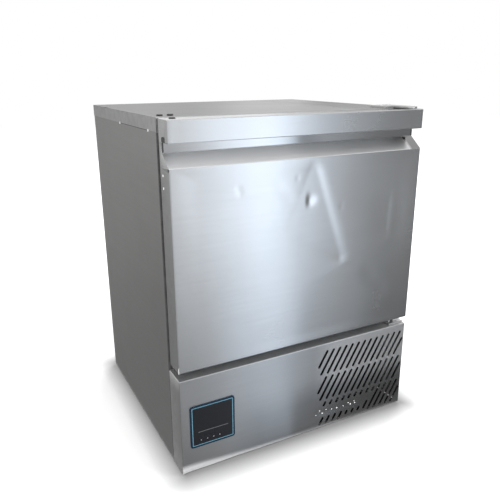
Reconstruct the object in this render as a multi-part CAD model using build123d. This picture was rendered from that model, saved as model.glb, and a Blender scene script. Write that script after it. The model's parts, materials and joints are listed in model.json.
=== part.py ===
from build123d import *
import os
from math import radians, sqrt, tan

# Undercounter refrigerator with one front door, hung on the right.
# Origin at the middle of the floor under the cabinet, +Z up, the door faces -Y, +X is to the right.
# All lengths are millimetres.

# Whole cabinet
WIDTH = 624.0                # over the side lips of the worktop
DEPTH = 580.0                # door front to rear panel
BODY_HEIGHT = 775.0          # bottom edge of the side panels to the worktop
FOOT_DROP = 4.0              # how far the feet reach below the side panels
SHEET = 1.0                  # stainless steel sheet
WALL = 40.0                  # insulated wall, sheets and foam together
TOP_WALL = 35.0              # insulated roof, worktop and foam together

# Door
DOOR_THICKNESS = 48.0
GASKET_GAP = 12.0            # door back to cabinet front
DOOR_BOTTOM = 253.0          # above the bottom edge of the panels
DOOR_TOP_STEP = 1.0          # door top below the worktop
NOSING_HEIGHT = 44.0         # grab handle along the top of the door
NOSING_DEPTH = 16.0          # thickness of its front lip
GRIP_DEPTH = 33.0            # how far the neck lies behind the door front
GRIP_RISE = 10.0             # hollow behind the lip, above the lip's lower edge
GRIP_HEIGHT = 20.0           # open height under the lip
SLOPE_HEIGHT = 26.0          # slope from the neck down to the flat of the door
LINER_THICKNESS = 2.0
DYKE_HEIGHT = 9.0            # raised field on the inside of the door
DYKE_INSET = 60.0            # raised field inside the door's edge
DYKE_RADIUS = 8.0

# Gasket, three stacked frames from the door towards the cabinet
GASKET_INSET = 22.0          # outer edge of the gasket inside the door's side edge
GASKET_TOP_INSET = 15.0
GASKET_BOTTOM_INSET = 12.0
GASKET_WIDTH = 18.0
GASKET_CLEARANCE = 0.3       # magnet face to cabinet front
GASKET_LAYERS = ((0.0, 3.0, 0.0), (3.0, 6.0, 4.0), (6.0, None, 1.0))   # start, end, side inset

# Hinges
PIN_INSET = 20.0             # hinge axis inside the door's right edge
PIN_DEPTH = 24.0             # hinge axis behind the door front
PIN_RADIUS = 4.0
PIN_CLEARANCE = 0.05
PIN_REACH = 18.0             # length of a pin inside its bush
BUSH_RADIUS = 8.0
BUSH_LENGTH = 22.0
PLATE_THICKNESS = 4.0
COLLAR_RADIUS = 7.0
THRUST_CLEARANCE = 0.3       # door bottom to the collar that carries it
TOP_PLATE_WIDTH = 56.0
TOP_PLATE_INSET = 4.0        # from the cabinet's side edge
TOP_PLATE_REACH = 60.0       # over the worktop, behind the cabinet front
TOP_SCREW_PITCH = 22.0
TOP_SCREW_SETBACK = 38.0     # screws behind the cabinet front
TONGUE_WIDTH = 44.0
TONGUE_LAP = 17.0            # bottom tongue past the pin towards the side
TONGUE_FRONT = 9.0           # bottom tongue behind the door front
TONGUE_LIFT = 0.5            # tongue above the lower panel
LEG_HEIGHT = 44.0            # leg of the bottom hinge down the cabinet front
LEG_CLEARANCE = 1.0
LEG_SCREW_DROP = 28.0        # its screws below the tongue
LEG_SCREW_SPREAD = 10.0      # either side of the post's middle
TONGUE_SCREW_OFFSET = 15.5   # panel screws either side of the pin
SCREW_RADIUS = 2.5
SCREW_HEAD_RADIUS = 4.5
SCREW_HEAD_HEIGHT = 2.6
SCREW_HEAD_ROUND = 1.3
TONGUE_SCREW_HEAD = 3.6      # head radius of the panel screws
SCREW_LENGTH = 14.0
PLUG_RADIUS = 6.5            # blanking plugs in the unused hinge holes
PLUG_HEIGHT = 2.6
PLUG_ROUND = 1.56
PLUG_STEM_RADIUS = 4.5
PLUG_STEM_LENGTH = 8.0
CLOSER_RADIUS = 9.0          # spring cartridge over the lower bush
CLOSER_LENGTH = 110.0

# Rivets in the door's side edges
RIVET_RADIUS = 2.4
RIVET_HEAD_HEIGHT = 0.8
RIVET_HEAD_ROUND = 0.4
RIVET_STEM_RADIUS = 1.6
RIVET_STEM_LENGTH = 5.0
RIVET_DEPTH = 34.0           # behind the door front
RIVET_DROP = 17.0            # top rivet below the top edge of the flat of the door
RIVET_PITCH = 25.0

# Worktop
TOP_SIDE_LIP = 28.0
TOP_FRONT_LIP = 9.0
TOP_FRONT_STEP = 1.0         # front lip ahead of the cabinet front

# Cabinet front frame
FRAME_THICKNESS = 2.0
RAIL_OVERLAP = 10.0          # lower rail of the frame below the lower panel's top edge
CABIN_FLOOR_RISE = 32.0      # cabin floor above the door's bottom edge
FLOOR_WALL = 40.0            # insulated floor

# Machine bay and base
TRAY_RISE = 20.0             # base tray above the bottom edge of the panels
TRAY_SHEET = 1.5
TRAY_FLANGE = 20.0
REAR_GUARD_INSET = 24.0
GUARD_SHEET = 1.2
GUARD_SLOT_WIDTH = 6.0
GUARD_SLOT_LENGTH = 150.0
GUARD_SLOT_PITCH_X = 180.0
GUARD_SLOT_PITCH_Z = 18.0
GUARD_ROWS = 9
GUARD_COLUMNS = 3

# Feet
FOOT_INSET_X = 30.0
FOOT_INSET_FRONT = 24.0      # behind the cabinet front
FOOT_INSET_REAR = 60.0
STEM_RADIUS = 5.0
STEM_LENGTH = 46.0
STEM_CLEARANCE = 0.05
PAD_RADIUS = 18.0
PAD_HEIGHT = 8.0
PAD_EDGE = 2.0
LOCKNUT_ACROSS = 17.0
LOCKNUT_HEIGHT = 4.0
SOCKET_RADIUS = 10.0
SOCKET_GAP = 0.5             # lock nut to socket

# Lower panel, a pan with returns on all sides
PANEL_DOOR_GAP = 19.0        # its top below the door
PANEL_SETBACK = 1.5          # behind the door front
PANEL_SEAM = 0.4             # between its returns and the cabinet
PANEL_BOTTOM_RETURN = 18.0
SLOT_ROWS = 3
SLOT_COUNT = 14
SLOT_WIDTH = 5.8
SLOT_ANGLE = 60.0            # from level
SLOT_PITCH = 19.1
SLOT_ROW_GAP = 12.3          # level difference from one row's upper ends to the lower ends of the row above
SHORT_SLOT_SHARE = 38.0      # the same for the cut-off first and last slots
SLOT_RIGHT_MARGIN = 14.0     # last slot's upper end from the cabinet's right edge
SLOT_TOP_MARGIN = 22.0       # upper end centres below the panel's top edge
SLOT_BOTTOM_MARGIN = 11.3    # lowest end centres above its bottom edge

# Controller in the lower panel
FASCIA_WIDTH = 108.0
FASCIA_HEIGHT = 105.0
FASCIA_RADIUS = 6.0
FASCIA_THICKNESS = 1.5
FASCIA_LEFT = 21.0           # from the cabinet's left edge
FASCIA_DROP = 67.5           # below the panel's top edge
HOUSING_INSET = 5.0
HOUSING_DEPTH = 34.0
HOUSING_WALL = 2.0
KEY_COUNT = 4
KEY_PITCH = 15.0
KEY_LEFT = 25.0              # first key from the fascia's left edge
KEY_RISE = 16.0              # keys above the fascia's lower edge
KEY_RADIUS = 4.0
KEY_HEAD = 2.4
KEY_STEM_RADIUS = 2.0
KEY_STEM = 4.0
KEY_CLEARANCE = 0.3
KEY_TRAVEL = 0.6
WINDOW_WIDTH = 36.0
WINDOW_HEIGHT = 15.0
WINDOW_LEFT = 22.0
WINDOW_RISE = 24.0
WINDOW_RECESS = 0.3

# Cabin fittings
STRIP_WIDTH = 20.0
STRIP_THICKNESS = 2.0
STRIP_FRONT = 50.0           # behind the cabinet front
STRIP_BACK_GAP = 65.0        # rear strips in front of the evaporator cover
STRIP_END_GAP = 9.0
SLIDE_LEDGE = 18.0
SLIDE_UPSTAND = 18.0
SLIDE_SHEET = 1.5
SLIDE_FRONT = 26.0
SLIDE_BACK_GAP = 11.0        # slides in front of the evaporator cover
SHELF_LEVELS = (120.0, 280.0)   # ledges above the cabin floor
SHELF_BACK_GAP = 19.0        # shelf in front of the evaporator cover
SHELF_FRONT = 24.0           # behind the cabinet front
SHELF_SIDE_GAP = 3.5         # shelf rod to slide upstand
SHELF_ROD = 3.0              # radius of the frame rod
SHELF_WIRE = 1.5             # radius of the cross wires
SHELF_WIRES = 19
SHELF_CORNER = 12.0
SHELF_CLEARANCE = 0.3

# Evaporator at the back of the cabin
COVER_SETBACK = 65.0         # cover in front of the liner's back
COVER_SHEET = 1.5
COVER_CLEARANCE = 0.5
COVER_RISE = 46.0            # open height under the cover
EVAP_BLADE_RADIUS = 70.0
EVAP_TIP_CLEARANCE = 6.0     # blade tips to the opening in the cover
GUARD_ROOF_GAP = 6.5         # fan guard below the cabin roof
EVAP_HUB_RADIUS = 18.0
EVAP_HUB_LENGTH = 18.0
EVAP_MOTOR_RADIUS = 30.0
EVAP_MOTOR_GAP = 4.5         # hub to motor
EVAP_BEARING = 9.5           # shaft bore in the motor
EVAP_SHAFT_END = 19.0        # shaft's end in front of the liner's back
EVAP_BLADE_CHORD = 34.0
COIL_SIDE_GAP = 92.0         # coil to the liner's side walls
COIL_DEPTH = 42.0
COIL_BACK_GAP = 3.0          # coil to the liner's back
COIL_HEIGHT = 150.0
COIL_FAN_GAP = 34.0          # coil below the fan's blade tips
COIL_TUBE = 4.0
COIL_PLATE = 2.0
COIL_ROWS = 5
DRIP_OVERHANG = 12.0         # past the coil at both sides
DRIP_DEPTH = 56.0
DRIP_HEIGHT = 20.0
DRIP_SHEET = 1.5
DRIP_GAP = 5.0               # coil to drip tray
DRAIN_RADIUS = 8.0
DRAIN_BORE = 6.0
DRAIN_X = -110.0
DRAIN_SETBACK = 34.0         # in front of the liner's back
PROBE_RADIUS = 3.0
PROBE_LENGTH = 40.0
PROBE_X = 150.0
GUARD_WIRE = 1.3
GUARD_LAP = 5.2              # outer ring past the fan opening
EVAP_FAN_SETBACK = 4.5       # hub behind the cover's front face
GUARD_RINGS = 4
GUARD_SPOKES = 4

# Condensing unit in the machine bay
CONDENSER_WIDTH = 202.0      # of its shroud
CONDENSER_RIGHT_GAP = 44.0
CONDENSER_FRONT = 6.0        # behind the front frame
CONDENSER_DEPTH = 40.0
CONDENSER_TOP_GAP = 12.0
CONDENSER_SIDE = 20.0        # fin pack inside the shroud's edges, room for the return bends
SHROUD_SHEET = 1.5
SHROUD_COLLAR = 26.0
FAN_BLADE_RADIUS = 81.0
FAN_TIP_CLEARANCE = 5.0      # blade tips to the shroud's collar
FAN_HUB_RADIUS = 22.0
FAN_HUB_LENGTH = 22.0
FAN_BLADE_CHORD = 44.0
FAN_MOTOR_RADIUS = 34.0
FAN_MOTOR_LENGTH = 44.0
BRACKET_HEIGHT = 24.0
BRACKET_SHEET = 3.0
BRACKET_GAP = 16.0           # shroud collar to crossbar
FAN_HUB_GAP = 6.0            # hub to crossbar
BLADE_THICKNESS = 1.6
BLADE_PITCH = 32.0           # degrees out of the fan's plane
BLADE_COUNT = 5
BLADE_TIP_SHARE = 0.3        # tip corner radius in blade chords
BLADE_ROOT_SHARE = 0.8       # blade root in hub radii
HUB_ROUND_SHARE = 0.15       # hub edge radius in hub lengths
MOTOR_BORE_SHARE = 0.6       # shaft bore in condenser motor lengths
SHAFT_RADIUS = 3.0
SHAFT_CLEARANCE = 0.05
COMPRESSOR_INSET = 192.0     # axis from the cabinet's right edge
COMPRESSOR_SETBACK = 150.0   # axis in front of the rear panel
COMPRESSOR_RADIUS = 80.0
COMPRESSOR_HEIGHT = 150.0
COMPRESSOR_DOME = 26.0
GROMMET_RADIUS = 12.0
GROMMET_HEIGHT = 10.0
COMPRESSOR_SEAM_RISE = 82.5   # welded seam above its base
COMPRESSOR_SEAM = 2.0        # how far the seam stands out, and half its height
COMPRESSOR_FOOT = 3.0
COMPRESSOR_FOOT_X = 82.0
COMPRESSOR_FOOT_Y = 62.0
STUB_LENGTH = 14.0
STUB_WALL = 1.5
DISCHARGE_RISE = 90.0        # pipe levels above the base tray
SUCTION_RISE = 42.0
LINE_RISE = 20.0
DISCHARGE_DROP = 16.0        # upper condenser connection below the top of its fins
PIPE_REACH = 32.0            # from a stub's end to the upright run
DISCHARGE_RADIUS = 3.0
SUCTION_RADIUS = 4.0
LIQUID_RADIUS = 3.0
BEND_RADIUS = 16.0
RISER_SETBACK = 12.0         # upright pipes in front of the liner's back
RISER_INSET = 24.0           # suction riser inside the liner's left wall
RISER_PITCH = 26.0
COIL_PORT = 20.0             # pipe connections in from the evaporator's lower and upper edges
DRIER_RADIUS = 10.0
DRIER_TAPER = 5.5
DRIER_LENGTH = 90.0
DRIER_OFFSET = 20.0          # left of the upright discharge run
DRIER_SETBACK = 120.0        # behind the front frame
VAPOUR_WIDTH = 150.0
VAPOUR_DEPTH = 120.0
VAPOUR_HEIGHT = 26.0
VAPOUR_SHEET = 2.0
VAPOUR_HANG = 22.0           # tray's rim below the bay ceiling
BOX_WIDTH = 120.0
BOX_DEPTH = 140.0
BOX_HEIGHT = 110.0
BOX_SETBACK = 60.0           # behind the front frame
GLAND_X = -200.0
GLAND_RISE = 90.0
GLAND_RADIUS = 11.0
GLAND_STEM = 7.7
GLAND_LENGTH = 14.0
GLAND_BORE = 4.0

# Planes that several pieces share
FRONT = -DEPTH / 2
REAR = DEPTH / 2
HALF = WIDTH / 2
BASE = FOOT_DROP
TOP = FOOT_DROP + BODY_HEIGHT
CARCASS = FRONT + DOOR_THICKNESS + GASKET_GAP
DOOR_BACK = FRONT + DOOR_THICKNESS
DOOR_LOW = BASE + DOOR_BOTTOM
DOOR_HIGH = TOP - DOOR_TOP_STEP
NOSING_LOW = DOOR_HIGH - NOSING_HEIGHT
NECK_LOW = NOSING_LOW - GRIP_HEIGHT
FLAT_HIGH = NECK_LOW - SLOPE_HEIGHT
SIDE_OUT = HALF - SHEET          # outer face of the side panels, inside the worktop's lips
SIDE_IN = SIDE_OUT - SHEET
CABIN_HALF = HALF - WALL
CABIN_FLOOR = DOOR_LOW + CABIN_FLOOR_RISE
CABIN_ROOF = TOP - TOP_WALL
CABIN_BACK = REAR - WALL
BAY_ROOF = CABIN_FLOOR - FLOOR_WALL
TRAY_BOTTOM = BASE + TRAY_RISE
TRAY_TOP = TRAY_BOTTOM + TRAY_SHEET
PANEL_FRONT = FRONT + PANEL_SETBACK
PANEL_BACK = CARCASS - PANEL_SEAM
PANEL_TOP = DOOR_LOW - PANEL_DOOR_GAP
PIN_X = HALF - PIN_INSET
PIN_Y = FRONT + PIN_DEPTH
FRAME_BACK = CARCASS + FRAME_THICKNESS
GUARD_Y = REAR - REAR_GUARD_INSET
COVER_Y = CABIN_BACK - COVER_SETBACK
CONDENSER_X1 = HALF - CONDENSER_RIGHT_GAP
CONDENSER_X0 = CONDENSER_X1 - CONDENSER_WIDTH
FAN_X = (CONDENSER_X0 + CONDENSER_X1) / 2
FAN_Z = (TRAY_TOP + BAY_ROOF) / 2
FAN_HOLE_RADIUS = FAN_BLADE_RADIUS + FAN_TIP_CLEARANCE
DRAIN_Y = CABIN_BACK - DRAIN_SETBACK
TOP_SCREW_Y = CARCASS + TOP_SCREW_SETBACK
TONGUE_LOW = PANEL_TOP + TONGUE_LIFT
TONGUE_HIGH = TONGUE_LOW + PLATE_THICKNESS
TONGUE_RIGHT = PIN_X + TONGUE_LAP
LEG_SCREW_Z = TONGUE_HIGH - LEG_SCREW_DROP
RIVET_Y = FRONT + RIVET_DEPTH
FASCIA_X = -HALF + FASCIA_LEFT + FASCIA_WIDTH / 2
FASCIA_Z = PANEL_TOP - FASCIA_DROP - FASCIA_HEIGHT / 2
SLOT_FIELD = PANEL_TOP - SLOT_TOP_MARGIN - BASE - SLOT_BOTTOM_MARGIN
SLOT_RISE = (SLOT_FIELD - (SLOT_ROWS - 1) * SLOT_ROW_GAP) / SLOT_ROWS   # between the end centres of a slot
KEY_Z = FASCIA_Z - FASCIA_HEIGHT / 2 + KEY_RISE
KEY_WELL = KEY_HEAD + KEY_TRAVEL - FASCIA_THICKNESS + KEY_CLEARANCE
EVAP_HOLE_RADIUS = EVAP_BLADE_RADIUS + EVAP_TIP_CLEARANCE
GUARD_RADIUS = EVAP_HOLE_RADIUS + GUARD_LAP
EVAP_FAN_Z = CABIN_ROOF - GUARD_ROOF_GAP - GUARD_WIRE - GUARD_RADIUS
EVAP_HUB_BACK = COVER_Y + EVAP_FAN_SETBACK + EVAP_HUB_LENGTH
COIL_HALF = CABIN_HALF - COIL_SIDE_GAP
COIL_HIGH = EVAP_FAN_Z - EVAP_BLADE_RADIUS - COIL_FAN_GAP
COIL_LOW = COIL_HIGH - COIL_HEIGHT
GLAND_Z = TRAY_TOP + GLAND_RISE
BRACKET_Y = FRAME_BACK + CONDENSER_FRONT + CONDENSER_DEPTH + SHROUD_COLLAR + BRACKET_GAP
COMPRESSOR_X = HALF - COMPRESSOR_INSET
COMPRESSOR_Y = REAR - COMPRESSOR_SETBACK
STUB_X = COMPRESSOR_X - COMPRESSOR_RADIUS - STUB_LENGTH
PIPE_X = STUB_X - PIPE_REACH
DISCHARGE_Z = TRAY_TOP + DISCHARGE_RISE
SUCTION_Z = TRAY_TOP + SUCTION_RISE
COIL_X = CONDENSER_X0 + CONDENSER_SIDE - COIL_PLATE
COIL_Y = FRAME_BACK + CONDENSER_FRONT + COIL_TUBE
LINE_Z = TRAY_TOP + LINE_RISE
DRIER_X = PIPE_X - DRIER_OFFSET
DRIER_Y = FRAME_BACK + DRIER_SETBACK
RISER_Y = CABIN_BACK - RISER_SETBACK
SUCTION_X = -CABIN_HALF + RISER_INSET
LIQUID_X = SUCTION_X + RISER_PITCH
LIQUID_TOP = COIL_LOW + COIL_PORT
SUCTION_TOP = COIL_HIGH - COIL_PORT


def block(x0, x1, y0, y1, z0, z1):
    """A box between two corners."""
    return Pos((x0 + x1) / 2, (y0 + y1) / 2, (z0 + z1) / 2) * Box(x1 - x0, y1 - y0, z1 - z0)


def post(x, y, z0, z1, radius):
    """A round bar standing upright."""
    return Pos(x, y, (z0 + z1) / 2) * Cylinder(radius, z1 - z0)


def bar_y(x, z, y0, y1, radius):
    """A round bar lying front to back."""
    return Pos(x, (y0 + y1) / 2, z) * Rot(90, 0, 0) * Cylinder(radius, y1 - y0)


def bar_x(y, z, x0, x1, radius):
    """A round bar lying left to right."""
    return Pos((x0 + x1) / 2, y, z) * Rot(0, 90, 0) * Cylinder(radius, x1 - x0)


def pipe(points, radius, bend=BEND_RADIUS):
    """A tube bent through a list of points."""
    path = FilletPolyline(*points, radius=bend)
    return sweep(Plane(origin=path @ 0, z_dir=path % 0) * Circle(radius), path=path)


def group(pieces):
    """Separate like pieces held in one node."""
    return Compound(children=list(pieces))


def open_box(x0, x1, y0, y1, z0, z1, sheet):
    """A tray of one sheet thickness, open at the top."""
    return block(x0, x1, y0, y1, z0, z1) - block(x0 + sheet, x1 - sheet, y0 + sheet, y1 - sheet, z0 + sheet, z1)


# Cabinet shell


def worktop():
    """Top sheet with folded lips; its holes take the hinge screws and the blanking plugs."""
    front = CARCASS - TOP_FRONT_STEP
    solid = block(-HALF, HALF, front, REAR, TOP - TOP_SIDE_LIP, TOP)
    solid -= block(-SIDE_OUT, SIDE_OUT, CARCASS, REAR - SHEET, TOP - TOP_SIDE_LIP, TOP - SHEET)
    solid -= block(-HALF, HALF, front, CARCASS, TOP - TOP_SIDE_LIP, TOP - TOP_FRONT_LIP)
    for x in top_screw_places():
        solid -= post(x, TOP_SCREW_Y, TOP - SHEET, TOP, SCREW_RADIUS)
        solid -= post(-x, TOP_SCREW_Y, TOP - SHEET, TOP, PLUG_STEM_RADIUS)
    return solid


def side_panel(side):
    """Plain outer sheet of one side, from the skirt at the floor to the underside of the worktop."""
    return block(*sorted((side * SIDE_IN, side * SIDE_OUT)), CARCASS, REAR - SHEET, BASE, TOP - SHEET)


def rear_panel():
    return block(-SIDE_IN, SIDE_IN, REAR - 2 * SHEET, REAR - SHEET, BAY_ROOF, TOP - SHEET)


def front_frame():
    """Front posts and rails that the gasket closes against, open to the cabin and the machine bay."""
    solid = block(-SIDE_IN, SIDE_IN, CARCASS, FRAME_BACK, TRAY_TOP, TOP - SHEET)
    solid -= block(-CABIN_HALF, CABIN_HALF, CARCASS, FRAME_BACK, CABIN_FLOOR, CABIN_ROOF)
    solid -= block(-CABIN_HALF, CABIN_HALF, CARCASS, FRAME_BACK, TRAY_TOP, PANEL_TOP - RAIL_OVERLAP)
    for x in leg_screw_places():
        solid -= bar_y(x, LEG_SCREW_Z, CARCASS, FRAME_BACK, SCREW_RADIUS)
    return solid


def cabin_liner():
    """Inner box of the cabin, open at the front."""
    solid = block(-CABIN_HALF - SHEET, CABIN_HALF + SHEET, FRAME_BACK, CABIN_BACK + SHEET,
                  CABIN_FLOOR - SHEET, CABIN_ROOF + SHEET)
    solid -= block(-CABIN_HALF, CABIN_HALF, FRAME_BACK, CABIN_BACK, CABIN_FLOOR, CABIN_ROOF)
    return cut_passages(solid)


def cabinet_foam():
    """Insulation between the liner and the outer sheets."""
    solid = block(-SIDE_IN, SIDE_IN, FRAME_BACK, REAR - 2 * SHEET, BAY_ROOF + SHEET, TOP - SHEET)
    solid -= block(-CABIN_HALF - SHEET, CABIN_HALF + SHEET, FRAME_BACK, CABIN_BACK + SHEET,
                   CABIN_FLOOR - SHEET, CABIN_ROOF + SHEET)
    for x in top_screw_places():
        solid -= post(x, TOP_SCREW_Y, TOP - SCREW_LENGTH, TOP, SCREW_RADIUS)
        solid -= post(-x, TOP_SCREW_Y, TOP - PLUG_STEM_LENGTH, TOP, PLUG_STEM_RADIUS)
    return cut_passages(solid)


def bay_ceiling():
    """Sheet that closes the insulation over the machine bay."""
    return cut_passages(block(-SIDE_IN, SIDE_IN, FRAME_BACK, REAR - 2 * SHEET, BAY_ROOF, BAY_ROOF + SHEET))


def passages():
    """Where pipes and the drain pass through the cabin floor: x, y and radius."""
    return ((DRAIN_X, DRAIN_Y, DRAIN_RADIUS), (SUCTION_X, RISER_Y, SUCTION_RADIUS),
            (LIQUID_X, RISER_Y, LIQUID_RADIUS))


def cut_passages(solid):
    for x, y, radius in passages():
        solid -= post(x, y, BAY_ROOF, CABIN_FLOOR, radius)
    return solid


def base_tray():
    """Chassis tray under the machine bay, with side flanges and welded threaded sockets for the feet."""
    solid = block(-SIDE_IN, SIDE_IN, CARCASS, REAR - 2 * SHEET, TRAY_BOTTOM, TRAY_TOP)
    for side in (-1, 1):
        x0, x1 = sorted((side * (SIDE_IN - TRAY_SHEET), side * SIDE_IN))
        solid += block(x0, x1, FRAME_BACK, REAR - 2 * SHEET, TRAY_TOP, TRAY_TOP + TRAY_FLANGE)
    socket_low = PAD_HEIGHT + LOCKNUT_HEIGHT + SOCKET_GAP
    for x, y in foot_places().values():
        solid += post(x, y, socket_low, TRAY_BOTTOM, SOCKET_RADIUS)
        solid -= post(x, y, socket_low, TRAY_TOP, STEM_RADIUS + STEM_CLEARANCE)
    return solid


def rear_guard():
    """Louvred cover of the machine bay, set in from the back, with the hole for the mains gland."""
    solid = block(-SIDE_IN + TRAY_SHEET, SIDE_IN - TRAY_SHEET, GUARD_Y, GUARD_Y + GUARD_SHEET, TRAY_TOP, BAY_ROOF)
    middle_z = (TRAY_TOP + BAY_ROOF) / 2
    for column in range(GUARD_COLUMNS):
        x = (column - (GUARD_COLUMNS - 1) / 2) * GUARD_SLOT_PITCH_X
        for row in range(GUARD_ROWS):
            z = middle_z + (row - (GUARD_ROWS - 1) / 2) * GUARD_SLOT_PITCH_Z
            if abs(x - GLAND_X) < GUARD_SLOT_LENGTH / 2 and abs(z - GLAND_Z) < GUARD_SLOT_PITCH_Z + GLAND_RADIUS:
                continue
            solid -= block(x - GUARD_SLOT_LENGTH / 2, x + GUARD_SLOT_LENGTH / 2, GUARD_Y, GUARD_Y + GUARD_SHEET,
                           z - GUARD_SLOT_WIDTH / 2, z + GUARD_SLOT_WIDTH / 2)
    return solid - bar_y(GLAND_X, GLAND_Z, GUARD_Y, GUARD_Y + GUARD_SHEET, GLAND_STEM)


# Feet


def foot_places():
    """Each foot's name and place."""
    front, rear = CARCASS + FOOT_INSET_FRONT, REAR - FOOT_INSET_REAR
    x = HALF - FOOT_INSET_X
    return {"front_left": (-x, front), "front_right": (x, front), "rear_left": (-x, rear), "rear_right": (x, rear)}


def foot(x, y):
    """Levelling foot, screwed right in: pad, lock nut and stem."""
    pad = chamfer(Cylinder(PAD_RADIUS, PAD_HEIGHT).edges().filter_by(GeomType.CIRCLE), PAD_EDGE)
    solid = Pos(x, y, PAD_HEIGHT / 2) * pad
    nut = extrude(RegularPolygon(LOCKNUT_ACROSS / 2, 6, major_radius=False), LOCKNUT_HEIGHT)
    solid += Pos(x, y, PAD_HEIGHT) * nut
    return solid + post(x, y, PAD_HEIGHT, PAD_HEIGHT + STEM_LENGTH, STEM_RADIUS)


# Door


def door_form(inset):
    """The door's whole outside form, drawn in by one inset on every side but the back."""
    outline = Polyline(
        (FRONT, DOOR_LOW), (FRONT, FLAT_HIGH), (FRONT + GRIP_DEPTH, NECK_LOW),
        (FRONT + GRIP_DEPTH, NOSING_LOW + GRIP_RISE), (FRONT + NOSING_DEPTH, NOSING_LOW + GRIP_RISE),
        (FRONT + NOSING_DEPTH, NOSING_LOW), (FRONT, NOSING_LOW), (FRONT, DOOR_HIGH),
        (DOOR_BACK + inset, DOOR_HIGH), (DOOR_BACK + inset, DOOR_LOW), close=True)
    face = make_face(outline)
    if inset:
        face = offset(face, amount=-inset, kind=Kind.INTERSECTION)
    half = HALF - inset
    return extrude(Plane.YZ.offset(-half) * face, 2 * half)


def door_shell():
    """The folded steel of the door as one shell, open at the back."""
    shell = door_form(0.0) - door_form(SHEET)
    shell -= post(PIN_X, PIN_Y, DOOR_HIGH - SHEET, DOOR_HIGH, BUSH_RADIUS)
    shell -= post(PIN_X, PIN_Y, DOOR_LOW, DOOR_LOW + SHEET, BUSH_RADIUS)
    shell -= post(-PIN_X, PIN_Y, DOOR_HIGH - SHEET, DOOR_HIGH, PLUG_STEM_RADIUS)
    for x0, x1, z in rivet_stems():
        shell -= bar_x(RIVET_Y, z, x0, x1, RIVET_STEM_RADIUS)
    return shell


def door_skin():
    """Front pan of the door up to the neck behind the handle."""
    return door_shell() & block(-HALF, HALF, FRONT, DOOR_BACK, DOOR_LOW, NOSING_LOW)


def handle_nosing():
    """Full-width grab handle folded along the top of the door."""
    return door_shell() & block(-HALF, HALF, FRONT, DOOR_BACK, NOSING_LOW, DOOR_HIGH)


def door_foam():
    """Insulation inside the door, with pockets for the bushes, the closer, the plug and the rivets."""
    solid = door_form(SHEET) & block(-HALF, HALF, FRONT, DOOR_BACK - LINER_THICKNESS, DOOR_LOW, DOOR_HIGH)
    solid -= post(PIN_X, PIN_Y, DOOR_HIGH - BUSH_LENGTH, DOOR_HIGH, BUSH_RADIUS)
    solid -= post(PIN_X, PIN_Y, DOOR_LOW, DOOR_LOW + BUSH_LENGTH, BUSH_RADIUS)
    solid -= post(PIN_X, PIN_Y, DOOR_LOW + BUSH_LENGTH, DOOR_LOW + BUSH_LENGTH + CLOSER_LENGTH, CLOSER_RADIUS)
    solid -= post(-PIN_X, PIN_Y, DOOR_HIGH - PLUG_STEM_LENGTH, DOOR_HIGH, PLUG_STEM_RADIUS)
    for x0, x1, z in rivet_stems():
        solid -= bar_x(RIVET_Y, z, x0, x1, RIVET_STEM_RADIUS)
    return solid


def door_liner():
    """Inner sheet of the door with its raised field."""
    edge = HALF - SHEET
    solid = block(-edge, edge, DOOR_BACK - LINER_THICKNESS, DOOR_BACK, DOOR_LOW + SHEET, DOOR_HIGH - SHEET)
    inset = HALF - DYKE_INSET
    field = block(-inset, inset, DOOR_BACK, DOOR_BACK + DYKE_HEIGHT, DOOR_LOW + DYKE_INSET, DOOR_HIGH - DYKE_INSET)
    rim = field.edges().group_by(Axis.Y)[-1]
    return solid + chamfer(rim, DYKE_RADIUS)


def frame_ring(inset, width, y0, y1):
    """A rectangular ring inside the gasket's outer edge."""
    x = HALF - GASKET_INSET - inset
    low = DOOR_LOW + GASKET_BOTTOM_INSET + inset
    high = DOOR_HIGH - GASKET_TOP_INSET - inset
    return block(-x, x, y0, y1, low, high) - block(-x + width, x - width, y0, y1, low + width, high - width)


def door_gasket():
    """Magnetic seal on the door's inner face: foot, bellows and magnet tube."""
    depth = GASKET_GAP - GASKET_CLEARANCE
    solid = None
    for start, end, inset in GASKET_LAYERS:
        ring = frame_ring(inset, GASKET_WIDTH - 2 * inset, DOOR_BACK + start, DOOR_BACK + (end or depth))
        solid = ring if solid is None else solid + ring
    return solid


def door_bushes():
    """Plastic bushes for the hinge pins in the top and bottom edges of the door."""
    spans = ((DOOR_HIGH - BUSH_LENGTH, DOOR_HIGH), (DOOR_LOW, DOOR_LOW + BUSH_LENGTH))
    return group(post(PIN_X, PIN_Y, z0, z1, BUSH_RADIUS)
                 - post(PIN_X, PIN_Y, z0, z1, PIN_RADIUS + PIN_CLEARANCE) for z0, z1 in spans)


def door_closer():
    """Torsion spring cartridge that swings the door shut, standing on the lower bush."""
    low = DOOR_LOW + BUSH_LENGTH
    return post(PIN_X, PIN_Y, low, low + CLOSER_LENGTH, CLOSER_RADIUS)


def plug(x, y, z):
    """Domed blanking plug pressed into an unused hinge hole."""
    dome = fillet(Cylinder(PLUG_RADIUS, PLUG_HEIGHT).edges().group_by(Axis.Z)[-1], PLUG_ROUND)
    return Pos(x, y, z + PLUG_HEIGHT / 2) * dome + post(x, y, z - PLUG_STEM_LENGTH, z, PLUG_STEM_RADIUS)


def rivet_places():
    """Side and height of each rivet in the door's edges."""
    return [(side, FLAT_HIGH - RIVET_DROP - n * RIVET_PITCH) for side in (-1, 1) for n in (0, 1)]


def rivet_stems():
    """Each rivet stem's span across the door's edge, and its height."""
    return [(*sorted((side * (HALF - RIVET_STEM_LENGTH), side * HALF)), z) for side, z in rivet_places()]


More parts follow.
